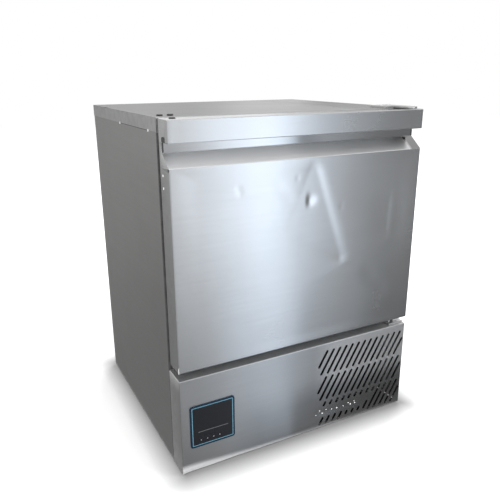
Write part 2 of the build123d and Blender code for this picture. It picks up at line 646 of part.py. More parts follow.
def door_rivets():
    """Rivets through the door's side edges, with low domed heads."""
    rivets = []
    for (side, z), (x0, x1, _) in zip(rivet_places(), rivet_stems()):
        dome = fillet(Cylinder(RIVET_RADIUS, RIVET_HEAD_HEIGHT).edges().group_by(Axis.Z)[-1], RIVET_HEAD_ROUND)
        head = Pos(side * (HALF + RIVET_HEAD_HEIGHT / 2), RIVET_Y, z) * Rot(0, side * 90, 0) * dome
        rivets.append(head + bar_x(RIVET_Y, z, x0, x1, RIVET_STEM_RADIUS))
    return group(rivets)


# Hinges


def top_screw_places():
    """Places of the top hinge plate's screws across the cabinet."""
    middle = HALF - TOP_PLATE_INSET - TOP_PLATE_WIDTH / 2
    return (middle - TOP_SCREW_PITCH / 2, middle + TOP_SCREW_PITCH / 2)


def leg_screw_places():
    """Places of the bottom hinge's screws into the cabinet front."""
    middle = (CABIN_HALF + SIDE_IN) / 2
    return (middle - LEG_SCREW_SPREAD, middle + LEG_SCREW_SPREAD)


def screw(length, head_radius=SCREW_HEAD_RADIUS):
    """A pan head screw, its head on top of the origin and its shank below."""
    head = fillet(Cylinder(head_radius, SCREW_HEAD_HEIGHT).edges().group_by(Axis.Z)[-1], SCREW_HEAD_ROUND)
    return Pos(0, 0, SCREW_HEAD_HEIGHT / 2) * head + Pos(0, 0, -length / 2) * Cylinder(SCREW_RADIUS, length)


def hinge_plate_top():
    """Plate on the worktop that reaches forward over the door."""
    right = HALF - TOP_PLATE_INSET
    back = CARCASS + TOP_PLATE_REACH
    solid = block(right - TOP_PLATE_WIDTH, right, CARCASS + LEG_CLEARANCE, back, TOP, TOP + PLATE_THICKNESS)
    reach = PIN_INSET - TOP_PLATE_INSET
    solid += block(PIN_X - reach, PIN_X + reach, PIN_Y, CARCASS + LEG_CLEARANCE, TOP, TOP + PLATE_THICKNESS)
    solid += post(PIN_X, PIN_Y, TOP, TOP + PLATE_THICKNESS, reach)
    solid -= post(PIN_X, PIN_Y, TOP, TOP + PLATE_THICKNESS, PIN_RADIUS)
    for x in top_screw_places():
        solid -= post(x, TOP_SCREW_Y, TOP, TOP + PLATE_THICKNESS, SCREW_RADIUS)
    return solid


def hinge_plate_bottom():
    """Angle on the cabinet front whose tongue carries the door's lower pin."""
    left = TONGUE_RIGHT - TONGUE_WIDTH
    solid = block(left, TONGUE_RIGHT, FRONT + TONGUE_FRONT, CARCASS, TONGUE_LOW, TONGUE_HIGH)
    solid += block(left, SIDE_IN, CARCASS - PLATE_THICKNESS, CARCASS,
                   TONGUE_HIGH - LEG_HEIGHT, TONGUE_HIGH)
    solid -= post(PIN_X, PIN_Y, TONGUE_LOW, TONGUE_HIGH, PIN_RADIUS)
    for x in tongue_screw_places():
        solid -= post(x, PIN_Y, TONGUE_LOW, TONGUE_HIGH, SCREW_RADIUS)
    for x in leg_screw_places():
        solid -= bar_y(x, LEG_SCREW_Z, CARCASS - PLATE_THICKNESS, CARCASS, SCREW_RADIUS)
    return solid


def hinge_pins():
    """Upper and lower door pins; a collar on the lower one carries the door."""
    upper = post(PIN_X, PIN_Y, DOOR_HIGH - PIN_REACH, TOP + PLATE_THICKNESS, PIN_RADIUS)
    lower = post(PIN_X, PIN_Y, TONGUE_LOW, DOOR_LOW + PIN_REACH, PIN_RADIUS)
    lower += post(PIN_X, PIN_Y, TONGUE_HIGH, DOOR_LOW - THRUST_CLEARANCE, COLLAR_RADIUS)
    return group((upper, lower))


def tongue_screw_places():
    """Places of the two screws that hold the lower panel under the bottom tongue."""
    return (PIN_X - TONGUE_SCREW_OFFSET, PIN_X + TONGUE_SCREW_OFFSET)


def hinge_screws():
    """Screws of both hinges, and those that tie the lower panel to the bottom tongue."""
    high = TOP + PLATE_THICKNESS
    screws = [Pos(x, TOP_SCREW_Y, high) * screw(high - (TOP - SCREW_LENGTH)) for x in top_screw_places()]
    screws += [Pos(x, PIN_Y, TONGUE_HIGH) * screw(SCREW_LENGTH, TONGUE_SCREW_HEAD) for x in tongue_screw_places()]
    screws += [Pos(x, CARCASS - PLATE_THICKNESS, LEG_SCREW_Z) * Rot(90, 0, 0)
               * screw(PLATE_THICKNESS + FRAME_THICKNESS) for x in leg_screw_places()]
    return group(screws)


# Lower panel and controller


def slot(x_low, z_low, x_high, z_high):
    """One slanted slot between the centres of its round ends."""
    run = sqrt((x_high - x_low) ** 2 + (z_high - z_low) ** 2)
    face = SlotCenterToCenter(run, SLOT_WIDTH)
    place = Pos((x_low + x_high) / 2, PANEL_FRONT, (z_low + z_high) / 2)
    return place * Rot(90, 0, 0) * Rot(0, 0, SLOT_ANGLE) * extrude(face, SHEET, both=True)


def vent_slots():
    """All the slots of the lower panel; the first and last of each row are cut short."""
    run, short = SLOT_RISE / tan(radians(SLOT_ANGLE)), SHORT_SLOT_SHARE / tan(radians(SLOT_ANGLE))
    last_x = HALF - SLOT_RIGHT_MARGIN
    slots = []
    for row in range(SLOT_ROWS):
        high = PANEL_TOP - SLOT_TOP_MARGIN - row * (SLOT_RISE + SLOT_ROW_GAP)
        for n in range(1, SLOT_COUNT - 1):
            x = last_x - (SLOT_COUNT - 2 - n) * SLOT_PITCH
            slots.append(slot(x - run, high - SLOT_RISE, x, high))
        x = last_x - (SLOT_COUNT - 2) * SLOT_PITCH
        slots.append(slot(x - short, high - SHORT_SLOT_SHARE, x, high))
        x = last_x - run + SLOT_PITCH
        slots.append(slot(x, high - SLOT_RISE, x + short, high - SLOT_RISE + SHORT_SLOT_SHARE))
    return slots


def lower_panel():
    """Removable pan in front of the machine bay: vent slots, and the opening for the controller."""
    low, edge = BASE, HALF
    solid = block(-edge, edge, PANEL_FRONT, PANEL_BACK, low, PANEL_TOP)
    solid -= block(-edge + SHEET, edge - SHEET, PANEL_FRONT + SHEET, PANEL_BACK, low + SHEET, PANEL_TOP - SHEET)
    solid -= block(-edge + SHEET, edge - SHEET, PANEL_FRONT + PANEL_BOTTOM_RETURN, PANEL_BACK, low, low + SHEET)
    solid -= block(TONGUE_RIGHT - TONGUE_WIDTH - LEG_CLEARANCE, SIDE_OUT, CARCASS - PLATE_THICKNESS - LEG_CLEARANCE,
                   PANEL_BACK, PANEL_TOP - SHEET, PANEL_TOP)
    for x in tongue_screw_places():
        solid -= post(x, PIN_Y, PANEL_TOP - SHEET, PANEL_TOP, SCREW_RADIUS)
    solid -= vent_slots()
    wide, tall = FASCIA_WIDTH / 2 - HOUSING_INSET, FASCIA_HEIGHT / 2 - HOUSING_INSET
    return solid - block(FASCIA_X - wide, FASCIA_X + wide, PANEL_FRONT, PANEL_FRONT + SHEET,
                         FASCIA_Z - tall, FASCIA_Z + tall)


def key_places():
    """Centres of the keys across the fascia."""
    left = FASCIA_X - FASCIA_WIDTH / 2 + KEY_LEFT
    return [left + n * KEY_PITCH for n in range(KEY_COUNT)]


def controller_fascia():
    """Glossy plate of the controller, with holes for its keys and a window."""
    plate = extrude(RectangleRounded(FASCIA_WIDTH, FASCIA_HEIGHT, FASCIA_RADIUS), FASCIA_THICKNESS)
    solid = Pos(FASCIA_X, PANEL_FRONT, FASCIA_Z) * Rot(90, 0, 0) * plate
    for x in key_places():
        solid -= bar_y(x, KEY_Z, FRONT, PANEL_FRONT, KEY_RADIUS + KEY_CLEARANCE)
    return solid - window_block(FRONT, PANEL_FRONT)


def window_block(y0, y1):
    """The space of the display window between two depths."""
    left, low = FASCIA_X - FASCIA_WIDTH / 2 + WINDOW_LEFT, FASCIA_Z - FASCIA_HEIGHT / 2 + WINDOW_RISE
    return block(left, left + WINDOW_WIDTH, y0, y1, low, low + WINDOW_HEIGHT)


def controller_display():
    return window_block(FRONT + WINDOW_RECESS, PANEL_FRONT)


def controller_housing():
    """Box behind the fascia that holds the circuit board, with guides for the key stems."""
    wide, tall = FASCIA_WIDTH / 2 - HOUSING_INSET, FASCIA_HEIGHT / 2 - HOUSING_INSET
    wide, tall = wide - PANEL_SEAM, tall - PANEL_SEAM
    solid = block(FASCIA_X - wide, FASCIA_X + wide, PANEL_FRONT, PANEL_FRONT + HOUSING_DEPTH,
                  FASCIA_Z - tall, FASCIA_Z + tall)
    solid -= block(FASCIA_X - wide + HOUSING_WALL, FASCIA_X + wide - HOUSING_WALL,
                   PANEL_FRONT + KEY_WELL + HOUSING_WALL, PANEL_FRONT + HOUSING_DEPTH - HOUSING_WALL,
                   FASCIA_Z - tall + HOUSING_WALL, FASCIA_Z + tall - HOUSING_WALL)
    for x in key_places():
        solid -= bar_y(x, KEY_Z, PANEL_FRONT, PANEL_FRONT + KEY_WELL, KEY_RADIUS + KEY_CLEARANCE)
        solid -= bar_y(x, KEY_Z, PANEL_FRONT + KEY_WELL, PANEL_FRONT + KEY_WELL + HOUSING_WALL,
                       KEY_STEM_RADIUS + KEY_CLEARANCE)
    return solid


def key(x):
    """A round push key with its stem; at rest its face is level with the fascia."""
    solid = bar_y(x, KEY_Z, FRONT, FRONT + KEY_HEAD, KEY_RADIUS)
    return solid + bar_y(x, KEY_Z, FRONT + KEY_HEAD, FRONT + KEY_HEAD + KEY_STEM, KEY_STEM_RADIUS)


# Cabin fittings


def rack_strips():
    """Four upright strips on the cabin's side walls."""
    low, high = CABIN_FLOOR + STRIP_END_GAP, CABIN_ROOF - STRIP_END_GAP
    strips = []
    for side in (-1, 1):
        x0, x1 = sorted((side * (CABIN_HALF - STRIP_THICKNESS), side * CABIN_HALF))
        for y in (CARCASS + STRIP_FRONT, COVER_Y - STRIP_BACK_GAP):
            strips.append(block(x0, x1, y - STRIP_WIDTH / 2, y + STRIP_WIDTH / 2, low, high))
    return group(strips)


def shelf_slides():
    """Angle runners hung on the strips, a pair for each shelf."""
    outer = CABIN_HALF - STRIP_THICKNESS
    y0, y1 = CARCASS + SLIDE_FRONT, COVER_Y - SLIDE_BACK_GAP
    slides = []
    for level in SHELF_LEVELS:
        z = CABIN_FLOOR + level
        for side in (-1, 1):
            ledge = block(*sorted((side * (outer - SLIDE_LEDGE), side * outer)), y0, y1, z - SLIDE_SHEET, z)
            wall = block(*sorted((side * (outer - SLIDE_SHEET), side * outer)), y0, y1, z, z + SLIDE_UPSTAND)
            slides.append(ledge + wall)
    return group(slides)


def shelf(level):
    """Wire shelf: a bent frame rod with cross wires welded on top."""
    half = CABIN_HALF - STRIP_THICKNESS - SLIDE_SHEET - SHELF_SIDE_GAP - SHELF_ROD
    y0 = CARCASS + SHELF_FRONT + SHELF_ROD
    y1 = COVER_Y - SHELF_BACK_GAP - SHELF_ROD
    z = CABIN_FLOOR + level + SHELF_CLEARANCE + SHELF_ROD
    x, middle = half - SHELF_CORNER, (y0 + y1) / 2
    solid = bar_x(middle, z, -half, half, SHELF_ROD)
    for y, toward in ((y0, 1), (y1, -1)):
        solid += bar_x(y, z, -x, x, SHELF_ROD)
        for side in (-1, 1):
            solid += bar_y(side * half, z, *sorted((y + toward * SHELF_CORNER, middle)), SHELF_ROD)
            reach = SHELF_CORNER + 2 * SHELF_ROD
            corner = Torus(SHELF_CORNER, SHELF_ROD) & block(*sorted((0, side * reach)), *sorted((0, -toward * reach)),
                                                            -SHELF_ROD, SHELF_ROD)
            solid += Pos(side * x, y + toward * SHELF_CORNER, z) * corner
    lift = z + SHELF_ROD + SHELF_WIRE / 2
    for n in range(SHELF_WIRES):
        x = -half + (n + 1) * 2 * half / (SHELF_WIRES + 1)
        solid += bar_y(x, lift, y0, y1, SHELF_WIRE)
    return solid


def fan_blade(radius, hub_radius, hub_length, chord, shaft_length):
    """Axial fan on its shaft, turning about the Z axis, hub centred on the origin."""
    solid = fillet(Cylinder(hub_radius, hub_length).edges().group_by(Axis.Z)[-1], hub_length * HUB_ROUND_SHARE)
    reach = sqrt(radius ** 2 - (chord / 2) ** 2)
    root = hub_radius * BLADE_ROOT_SHARE
    for n in range(BLADE_COUNT):
        vane = Box(reach - root, chord, BLADE_THICKNESS)
        vane = fillet(vane.edges().filter_by(Axis.Z).group_by(Axis.X)[-1], chord * BLADE_TIP_SHARE)
        vane = Pos((reach + root) / 2, 0, 0) * Rot(BLADE_PITCH, 0, 0) * vane
        solid += Rot(0, 0, n * 360 / BLADE_COUNT) * vane
    return solid + Pos(0, 0, -(hub_length + shaft_length) / 2) * Cylinder(SHAFT_RADIUS, shaft_length)


def evaporator_cover():
    """Sheet in front of the evaporator, with the fan opening and returns at both sides."""
    half = CABIN_HALF - COVER_CLEARANCE
    low, high = CABIN_FLOOR + COVER_RISE, CABIN_ROOF - COVER_CLEARANCE
    solid = block(-half, half, COVER_Y, CABIN_BACK, low, high)
    solid -= block(-half + COVER_SHEET, half - COVER_SHEET, COVER_Y + COVER_SHEET, CABIN_BACK, low, high)
    return solid - bar_y(0, EVAP_FAN_Z, COVER_Y, COVER_Y + COVER_SHEET, EVAP_HOLE_RADIUS)


def evaporator_fan_guard():
    """Wire guard in front of the evaporator fan: rings on crossed spokes."""
    y = COVER_Y - GUARD_WIRE
    solid = None
    for n in range(GUARD_RINGS):
        ring = Pos(0, y, EVAP_FAN_Z) * Rot(90, 0, 0) * Torus(GUARD_RADIUS * (n + 1) / GUARD_RINGS, GUARD_WIRE)
        solid = ring if solid is None else solid + ring
    for n in range(GUARD_SPOKES):
        spoke = Rot(0, n * 180 / GUARD_SPOKES, 0) * Rot(0, 90, 0) * Cylinder(GUARD_WIRE, 2 * GUARD_RADIUS)
        solid += Pos(0, y, EVAP_FAN_Z) * spoke
    return solid


def evaporator_fan_motor():
    """Small shaded-pole motor on the cabin's back wall."""
    solid = bar_y(0, EVAP_FAN_Z, EVAP_HUB_BACK + EVAP_MOTOR_GAP, CABIN_BACK, EVAP_MOTOR_RADIUS)
    return solid - bar_y(0, EVAP_FAN_Z, EVAP_HUB_BACK + EVAP_MOTOR_GAP, CABIN_BACK - EVAP_BEARING,
                         SHAFT_RADIUS + SHAFT_CLEARANCE)


def evaporator_fan_blade():
    shaft = CABIN_BACK - EVAP_SHAFT_END - EVAP_HUB_BACK
    blade = fan_blade(EVAP_BLADE_RADIUS, EVAP_HUB_RADIUS, EVAP_HUB_LENGTH, EVAP_BLADE_CHORD, shaft)
    return Pos(0, EVAP_HUB_BACK - EVAP_HUB_LENGTH / 2, EVAP_FAN_Z) * Rot(90, 0, 0) * blade


def finned_coil(x0, x1, y0, y1, z0, z1, rows, plate_back):
    """Fin pack between two end plates, with the tubes' return bends past both ends."""
    solid = block(x0, x1, y0, y1, z0, z1)
    for x in (x0 - COIL_PLATE, x1):
        solid += block(x, x + COIL_PLATE, y0, plate_back, z0, z1)
    pitch = (z1 - z0) / rows
    for n in range(rows):
        z = z0 + (n + 0.5) * pitch
        for side, x in ((-1, x0 - COIL_PLATE), (1, x1 + COIL_PLATE)):
            bend = Torus(pitch / 4, COIL_TUBE) & Box(pitch, pitch, pitch)
            half = Pos(x, (y0 + y1) / 2, z) * Rot(90, 0, 0) * bend
            solid += half & block(*sorted((x, x + side * pitch)), y0, y1, z0, z1)
    return solid


def evaporator_coil():
    front = CABIN_BACK - COIL_BACK_GAP - COIL_DEPTH
    return finned_coil(-COIL_HALF, COIL_HALF, front, front + COIL_DEPTH, COIL_LOW, COIL_HIGH, COIL_ROWS, CABIN_BACK)


def drip_tray():
    """Tray under the evaporator, with its spout over the drain."""
    high = COIL_LOW - DRIP_GAP
    low = high - DRIP_HEIGHT
    half = COIL_HALF + DRIP_OVERHANG
    solid = open_box(-half, half, CABIN_BACK - DRIP_DEPTH, CABIN_BACK, low, high, DRIP_SHEET)
    return solid - post(DRAIN_X, DRAIN_Y, low, low + DRIP_SHEET, DRAIN_BORE)


def drain_tube():
    """Drain from the drip tray down through the cabin floor to the vaporising tray."""
    high = COIL_LOW - DRIP_GAP - DRIP_HEIGHT
    low = BAY_ROOF - VAPOUR_HANG
    return post(DRAIN_X, DRAIN_Y, low, high, DRAIN_RADIUS) - post(DRAIN_X, DRAIN_Y, low, high, DRAIN_BORE)


def temperature_probe():
    """Air probe in its clip on the front of the evaporator cover."""
    x, z = PROBE_X, COIL_LOW
    clip = block(x - 2 * PROBE_RADIUS, x + 2 * PROBE_RADIUS, COVER_Y - 3 * PROBE_RADIUS, COVER_Y,
                 z - PROBE_RADIUS, z + PROBE_RADIUS)
    return clip + post(x, COVER_Y - 2 * PROBE_RADIUS, z - PROBE_LENGTH / 2, z + PROBE_LENGTH / 2, PROBE_RADIUS)


# Condensing unit


def condenser_coil():
    y0 = FRAME_BACK + CONDENSER_FRONT
    return finned_coil(CONDENSER_X0 + CONDENSER_SIDE, CONDENSER_X1 - CONDENSER_SIDE, y0, y0 + CONDENSER_DEPTH,
                       TRAY_TOP, BAY_ROOF - CONDENSER_TOP_GAP, COIL_ROWS, y0 + CONDENSER_DEPTH)


def condenser_shroud():
    """Plate and collar that draw the fan's air through the condenser."""
    y0 = FRAME_BACK + CONDENSER_FRONT + CONDENSER_DEPTH
    solid = block(CONDENSER_X0, CONDENSER_X1, y0, y0 + SHROUD_SHEET, TRAY_TOP, BAY_ROOF - CONDENSER_TOP_GAP)
    solid += bar_y(FAN_X, FAN_Z, y0, y0 + SHROUD_COLLAR, FAN_HOLE_RADIUS + SHROUD_SHEET)
    return solid - bar_y(FAN_X, FAN_Z, y0, y0 + SHROUD_COLLAR, FAN_HOLE_RADIUS)


def fan_bracket():
    """Crossbar behind the shroud that carries the condenser fan motor."""
    y0 = FRAME_BACK + CONDENSER_FRONT + CONDENSER_DEPTH + SHROUD_SHEET
    z0, z1 = FAN_Z - BRACKET_HEIGHT / 2, FAN_Z + BRACKET_HEIGHT / 2
    solid = block(CONDENSER_X0, CONDENSER_X1, y0, BRACKET_Y + BRACKET_SHEET, z0, z1)
    solid -= block(CONDENSER_X0 + BRACKET_SHEET, CONDENSER_X1 - BRACKET_SHEET, y0, BRACKET_Y, z0, z1)
    return solid - bar_y(FAN_X, FAN_Z, BRACKET_Y, BRACKET_Y + BRACKET_SHEET, SHAFT_RADIUS + SHAFT_CLEARANCE)


def condenser_fan_motor():
    y0 = BRACKET_Y + BRACKET_SHEET
    solid = bar_y(FAN_X, FAN_Z, y0, y0 + FAN_MOTOR_LENGTH, FAN_MOTOR_RADIUS)
    return solid - bar_y(FAN_X, FAN_Z, y0, y0 + FAN_MOTOR_LENGTH * MOTOR_BORE_SHARE, SHAFT_RADIUS + SHAFT_CLEARANCE)


def condenser_fan_blade():
    hub_y = BRACKET_Y - FAN_HUB_LENGTH / 2 - FAN_HUB_GAP
    shaft = BRACKET_Y + BRACKET_SHEET + FAN_MOTOR_LENGTH / 2 - hub_y - FAN_HUB_LENGTH / 2
    blade = fan_blade(FAN_BLADE_RADIUS, FAN_HUB_RADIUS, FAN_HUB_LENGTH, FAN_BLADE_CHORD, shaft)
    return Pos(FAN_X, hub_y, FAN_Z) * Rot(90, 0, 0) * blade


def compressor():
    """Hermetic compressor: domed shell on a base plate with pipe stubs."""
    low = TRAY_TOP + GROMMET_HEIGHT
    shell = Cylinder(COMPRESSOR_RADIUS, COMPRESSOR_HEIGHT)
    shell = fillet(shell.edges().filter_by(GeomType.CIRCLE), COMPRESSOR_DOME)
    solid = Pos(COMPRESSOR_X, COMPRESSOR_Y, low + COMPRESSOR_HEIGHT / 2) * shell
    seam = low + COMPRESSOR_SEAM_RISE
    solid += post(COMPRESSOR_X, COMPRESSOR_Y, seam - COMPRESSOR_SEAM, seam + COMPRESSOR_SEAM,
                  COMPRESSOR_RADIUS + COMPRESSOR_SEAM)
    solid += block(COMPRESSOR_X - COMPRESSOR_FOOT_X - GROMMET_RADIUS, COMPRESSOR_X + COMPRESSOR_FOOT_X + GROMMET_RADIUS,
                   COMPRESSOR_Y - COMPRESSOR_FOOT_Y - GROMMET_RADIUS, COMPRESSOR_Y + COMPRESSOR_FOOT_Y + GROMMET_RADIUS,
                   low, low + COMPRESSOR_FOOT)
    for y, z, radius in ((COMPRESSOR_Y, DISCHARGE_Z, DISCHARGE_RADIUS), (COMPRESSOR_Y, SUCTION_Z, SUCTION_RADIUS)):
        solid += bar_x(y, z, STUB_X, COMPRESSOR_X, radius + STUB_WALL)
    return solid


def compressor_grommets():
    """Rubber mounts between the compressor's base plate and the tray."""
    return group(post(COMPRESSOR_X + i * COMPRESSOR_FOOT_X, COMPRESSOR_Y + j * COMPRESSOR_FOOT_Y,
                      TRAY_TOP, TRAY_TOP + GROMMET_HEIGHT, GROMMET_RADIUS) for i in (-1, 1) for j in (-1, 1))


def filter_drier():
    """Copper drier in the liquid line, tapered at both ends."""
    body = bar_y(DRIER_X, LINE_Z, DRIER_Y, DRIER_Y + DRIER_LENGTH, DRIER_RADIUS)
    return chamfer(body.edges().filter_by(GeomType.CIRCLE), DRIER_TAPER)


def discharge_pipe():
    """Compressor to the condenser's upper tube."""
    z = BAY_ROOF - CONDENSER_TOP_GAP - DISCHARGE_DROP
    return pipe([(STUB_X, COMPRESSOR_Y, DISCHARGE_Z), (PIPE_X, COMPRESSOR_Y, DISCHARGE_Z), (PIPE_X, COMPRESSOR_Y, z),
                 (PIPE_X, COIL_Y, z), (COIL_X, COIL_Y, z)], DISCHARGE_RADIUS)


def liquid_pipes():
    """Condenser outlet to the drier, then up behind the evaporator cover."""
    lower = pipe([(COIL_X, COIL_Y, LINE_Z), (DRIER_X, COIL_Y, LINE_Z), (DRIER_X, DRIER_Y, LINE_Z)], LIQUID_RADIUS)
    upper = pipe([(DRIER_X, DRIER_Y + DRIER_LENGTH, LINE_Z), (DRIER_X, RISER_Y, LINE_Z), (LIQUID_X, RISER_Y, LINE_Z),
                  (LIQUID_X, RISER_Y, LIQUID_TOP), (-COIL_HALF - COIL_PLATE, RISER_Y, LIQUID_TOP)],
                 LIQUID_RADIUS)
    return lower, upper


def suction_pipe():
    """Evaporator outlet down through the cabin floor to the compressor."""
    return pipe([(-COIL_HALF - COIL_PLATE, RISER_Y, SUCTION_TOP), (SUCTION_X, RISER_Y, SUCTION_TOP),
                 (SUCTION_X, RISER_Y, SUCTION_Z), (SUCTION_X, COMPRESSOR_Y, SUCTION_Z),
                 (STUB_X, COMPRESSOR_Y, SUCTION_Z)], SUCTION_RADIUS)


def vaporising_tray():
    """Plastic tray that boils off the drain water, hung from the bay ceiling."""
    x0, y1 = DRAIN_X - VAPOUR_WIDTH / 2, DRAIN_Y + VAPOUR_DEPTH / 4
    high = BAY_ROOF - VAPOUR_HANG
    solid = open_box(x0, x0 + VAPOUR_WIDTH, y1 - VAPOUR_DEPTH, y1, high - VAPOUR_HEIGHT, high, VAPOUR_SHEET)
    for x in (x0, x0 + VAPOUR_WIDTH - VAPOUR_SHEET):
        solid += block(x, x + VAPOUR_SHEET, y1 - VAPOUR_DEPTH, y1, high, BAY_ROOF)
    return solid


def control_box():
    """Closed box for the relays and the mains terminals."""
    x0 = -SIDE_IN + TRAY_SHEET
    y1 = FRAME_BACK + BOX_SETBACK + BOX_DEPTH
    return block(x0, x0 + BOX_WIDTH, y1 - BOX_DEPTH, y1, TRAY_TOP, TRAY_TOP + BOX_HEIGHT)


def mains_gland():
    """Compression gland where the supply lead enters the rear guard."""
    back = GUARD_Y + GUARD_SHEET
    nut = extrude(RegularPolygon(GLAND_RADIUS, 6), GLAND_LENGTH)
    nut = chamfer(nut.faces().sort_by(Axis.Z)[-1].edges(), GLAND_BORE / 2)
    solid = Pos(GLAND_X, back, GLAND_Z) * Rot(-90, 0, 0) * nut
    solid += bar_y(GLAND_X, GLAND_Z, GUARD_Y - GLAND_BORE, back, GLAND_STEM)
    return solid - bar_y(GLAND_X, GLAND_Z, GUARD_Y - GLAND_BORE, back + GLAND_LENGTH, GLAND_BORE)


def pieces():
    """Every node's name and solid."""
    made = {
        "worktop": worktop(),
        "side_panel_left": side_panel(-1),
        "side_panel_right": side_panel(1),
        "rear_panel": rear_panel(),
        "front_frame": front_frame(),
        "cabin_liner": cabin_liner(),
        "cabinet_foam": cabinet_foam(),
        "bay_ceiling": bay_ceiling(),
        "base_tray": base_tray(),
        "rear_guard": rear_guard(),
        "lower_panel": lower_panel(),
        "controller_fascia": controller_fascia(),
        "controller_display": controller_display(),
        "controller_housing": controller_housing(),
        "hinge_plate_top": hinge_plate_top(),
        "hinge_plate_bottom": hinge_plate_bottom(),
        "hinge_pins": hinge_pins(),
        "hinge_screws": hinge_screws(),
        "worktop_plugs": group(plug(-x, TOP_SCREW_Y, TOP) for x in top_screw_places()),
        "door_skin": door_skin(),
        "handle_nosing": handle_nosing(),
        "door_foam": door_foam(),
        "door_liner": door_liner(),
        "door_gasket": door_gasket(),
        "door_bushes": door_bushes(),
        "door_closer": door_closer(),
        "door_plug": plug(-PIN_X, PIN_Y, DOOR_HIGH),
        "door_rivets": door_rivets(),
        "rack_strips": rack_strips(),
        "shelf_slides": shelf_slides(),
        "evaporator_cover": evaporator_cover(),
        "evaporator_fan_guard": evaporator_fan_guard(),
        "evaporator_fan_motor": evaporator_fan_motor(),
        "evaporator_fan_blade": evaporator_fan_blade(),
        "evaporator_coil": evaporator_coil(),
        "drip_tray": drip_tray(),
        "drain_tube": drain_tube(),
        "temperature_probe": temperature_probe(),
        "condenser_coil": condenser_coil(),
        "condenser_shroud": condenser_shroud(),
        "condenser_fan_bracket": fan_bracket(),
        "condenser_fan_motor": condenser_fan_motor(),
        "condenser_fan_blade": condenser_fan_blade(),
        "compressor": compressor(),
        "compressor_grommets": compressor_grommets(),
        "filter_drier": filter_drier(),
        "refrigerant_pipes": group((discharge_pipe(), *liquid_pipes(), suction_pipe())),
        "vaporising_tray": vaporising_tray(),
        "control_box": control_box(),
        "mains_gland": mains_gland(),
    }
    for name, level in zip(("shelf_lower", "shelf_upper"), SHELF_LEVELS):
        made[name] = shelf(level)
    for name, (x, y) in foot_places().items():
        made[f"foot_{name}"] = foot(x, y)
    for number, x in enumerate(key_places(), 1):
        made[f"key_{number}"] = key(x)
    return made


os.makedirs("parts", exist_ok=True)
for name, solid in pieces().items():
    export_step(solid, f"parts/{name}.step")
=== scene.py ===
import json
from math import cos, pi, radians, sin, sqrt, tan

import bmesh
import bpy
import numpy as np
from mathutils import Matrix, Vector, noise

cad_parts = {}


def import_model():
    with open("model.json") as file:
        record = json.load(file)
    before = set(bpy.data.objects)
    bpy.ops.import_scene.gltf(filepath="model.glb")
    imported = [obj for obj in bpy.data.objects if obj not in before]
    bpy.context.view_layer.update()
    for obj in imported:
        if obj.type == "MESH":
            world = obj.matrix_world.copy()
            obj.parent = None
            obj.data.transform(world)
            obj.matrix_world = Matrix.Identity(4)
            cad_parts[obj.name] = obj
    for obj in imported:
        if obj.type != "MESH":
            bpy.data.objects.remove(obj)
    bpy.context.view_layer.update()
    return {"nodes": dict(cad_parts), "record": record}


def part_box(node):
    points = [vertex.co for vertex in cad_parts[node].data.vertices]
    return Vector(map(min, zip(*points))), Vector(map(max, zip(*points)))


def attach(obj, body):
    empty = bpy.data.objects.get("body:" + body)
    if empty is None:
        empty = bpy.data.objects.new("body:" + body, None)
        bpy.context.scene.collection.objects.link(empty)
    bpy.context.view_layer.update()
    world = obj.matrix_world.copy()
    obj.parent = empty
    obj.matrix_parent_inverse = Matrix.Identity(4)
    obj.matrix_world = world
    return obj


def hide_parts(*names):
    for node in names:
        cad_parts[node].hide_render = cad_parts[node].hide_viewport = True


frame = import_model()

# Undercounter refrigerator: the looks of its shell, door, machine bay and cabin.
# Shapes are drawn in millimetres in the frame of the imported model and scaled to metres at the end.
MM = 0.001
RECORD = frame["record"]
SLOT_OF = {part["node"]: part["material_slot"] for part in RECORD["subparts"]}
BODY_OF = {node: body for body, nodes in RECORD["behaviour"]["bodies"].items() for node in nodes}


def corners(node):
    """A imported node's lowest and highest corners, in millimetres."""
    return [Vector(corner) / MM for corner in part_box(node)]


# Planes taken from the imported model
DOOR_NEAR, DOOR_FAR = corners("door_skin")
PANEL_LOW, PANEL_HIGH = corners("lower_panel")
HALF = DOOR_FAR.x
FRONT, DOOR_BACK = DOOR_NEAR.y, DOOR_FAR.y
DOOR_LOW = DOOR_NEAR.z
NOSING_LOW, DOOR_HIGH = (corner.z for corner in corners("handle_nosing"))
TOP = corners("worktop")[1].z
CARCASS = corners("side_panel_left")[0].y

# Door profile behind the front face
GRIP_DEPTH = 33.0
GRIP_RISE = 10.0
GRIP_HEIGHT = 20.0
SLOPE_HEIGHT = 26.0
NOSING_DEPTH = 16.0
NECK_Y = FRONT + GRIP_DEPTH
NECK_LOW = NOSING_LOW - GRIP_HEIGHT
FLAT_HIGH = NECK_LOW - SLOPE_HEIGHT

BAY_HIGH = 246.0     # underside of the cabin
FOLD = 2.0           # outer radius of folded sheet
SHEET = 1.0


# Node trees: a tool that is given a socket works in that socket's own tree


def put(tree, kind, feeds=None, **settings):
    """Adds a node; feeds gives its inputs by name or number, as sockets to link or as plain values."""
    node = tree.nodes.new(kind)
    for name, value in settings.items():
        setattr(node, name, value)
    for key, value in (feeds or {}).items():
        if isinstance(value, bpy.types.NodeSocket):
            tree.links.new(value, node.inputs[key])
        else:
            node.inputs[key].default_value = value
    return node


def tree_of(*values):
    """The tree of the first socket among some values."""
    return next(value.id_data for value in values if isinstance(value, bpy.types.NodeSocket))


def sums(operation, *values):
    """One step of arithmetic."""
    feeds = dict(enumerate(values + (0.0,) * (3 - len(values))))
    return put(tree_of(*values), "ShaderNodeMath", feeds, operation=operation).outputs[0]


def times(first, second, added=None):
    """A product, with a value added where one is given."""
    return sums("MULTIPLY", first, second) if added is None else sums("MULTIPLY_ADD", first, second, added)


def less(first, second):
    return sums("SUBTRACT", first, second)


def off(value, middle):
    """Distance from a middle, without its sign."""
    return sums("ABSOLUTE", less(value, middle))


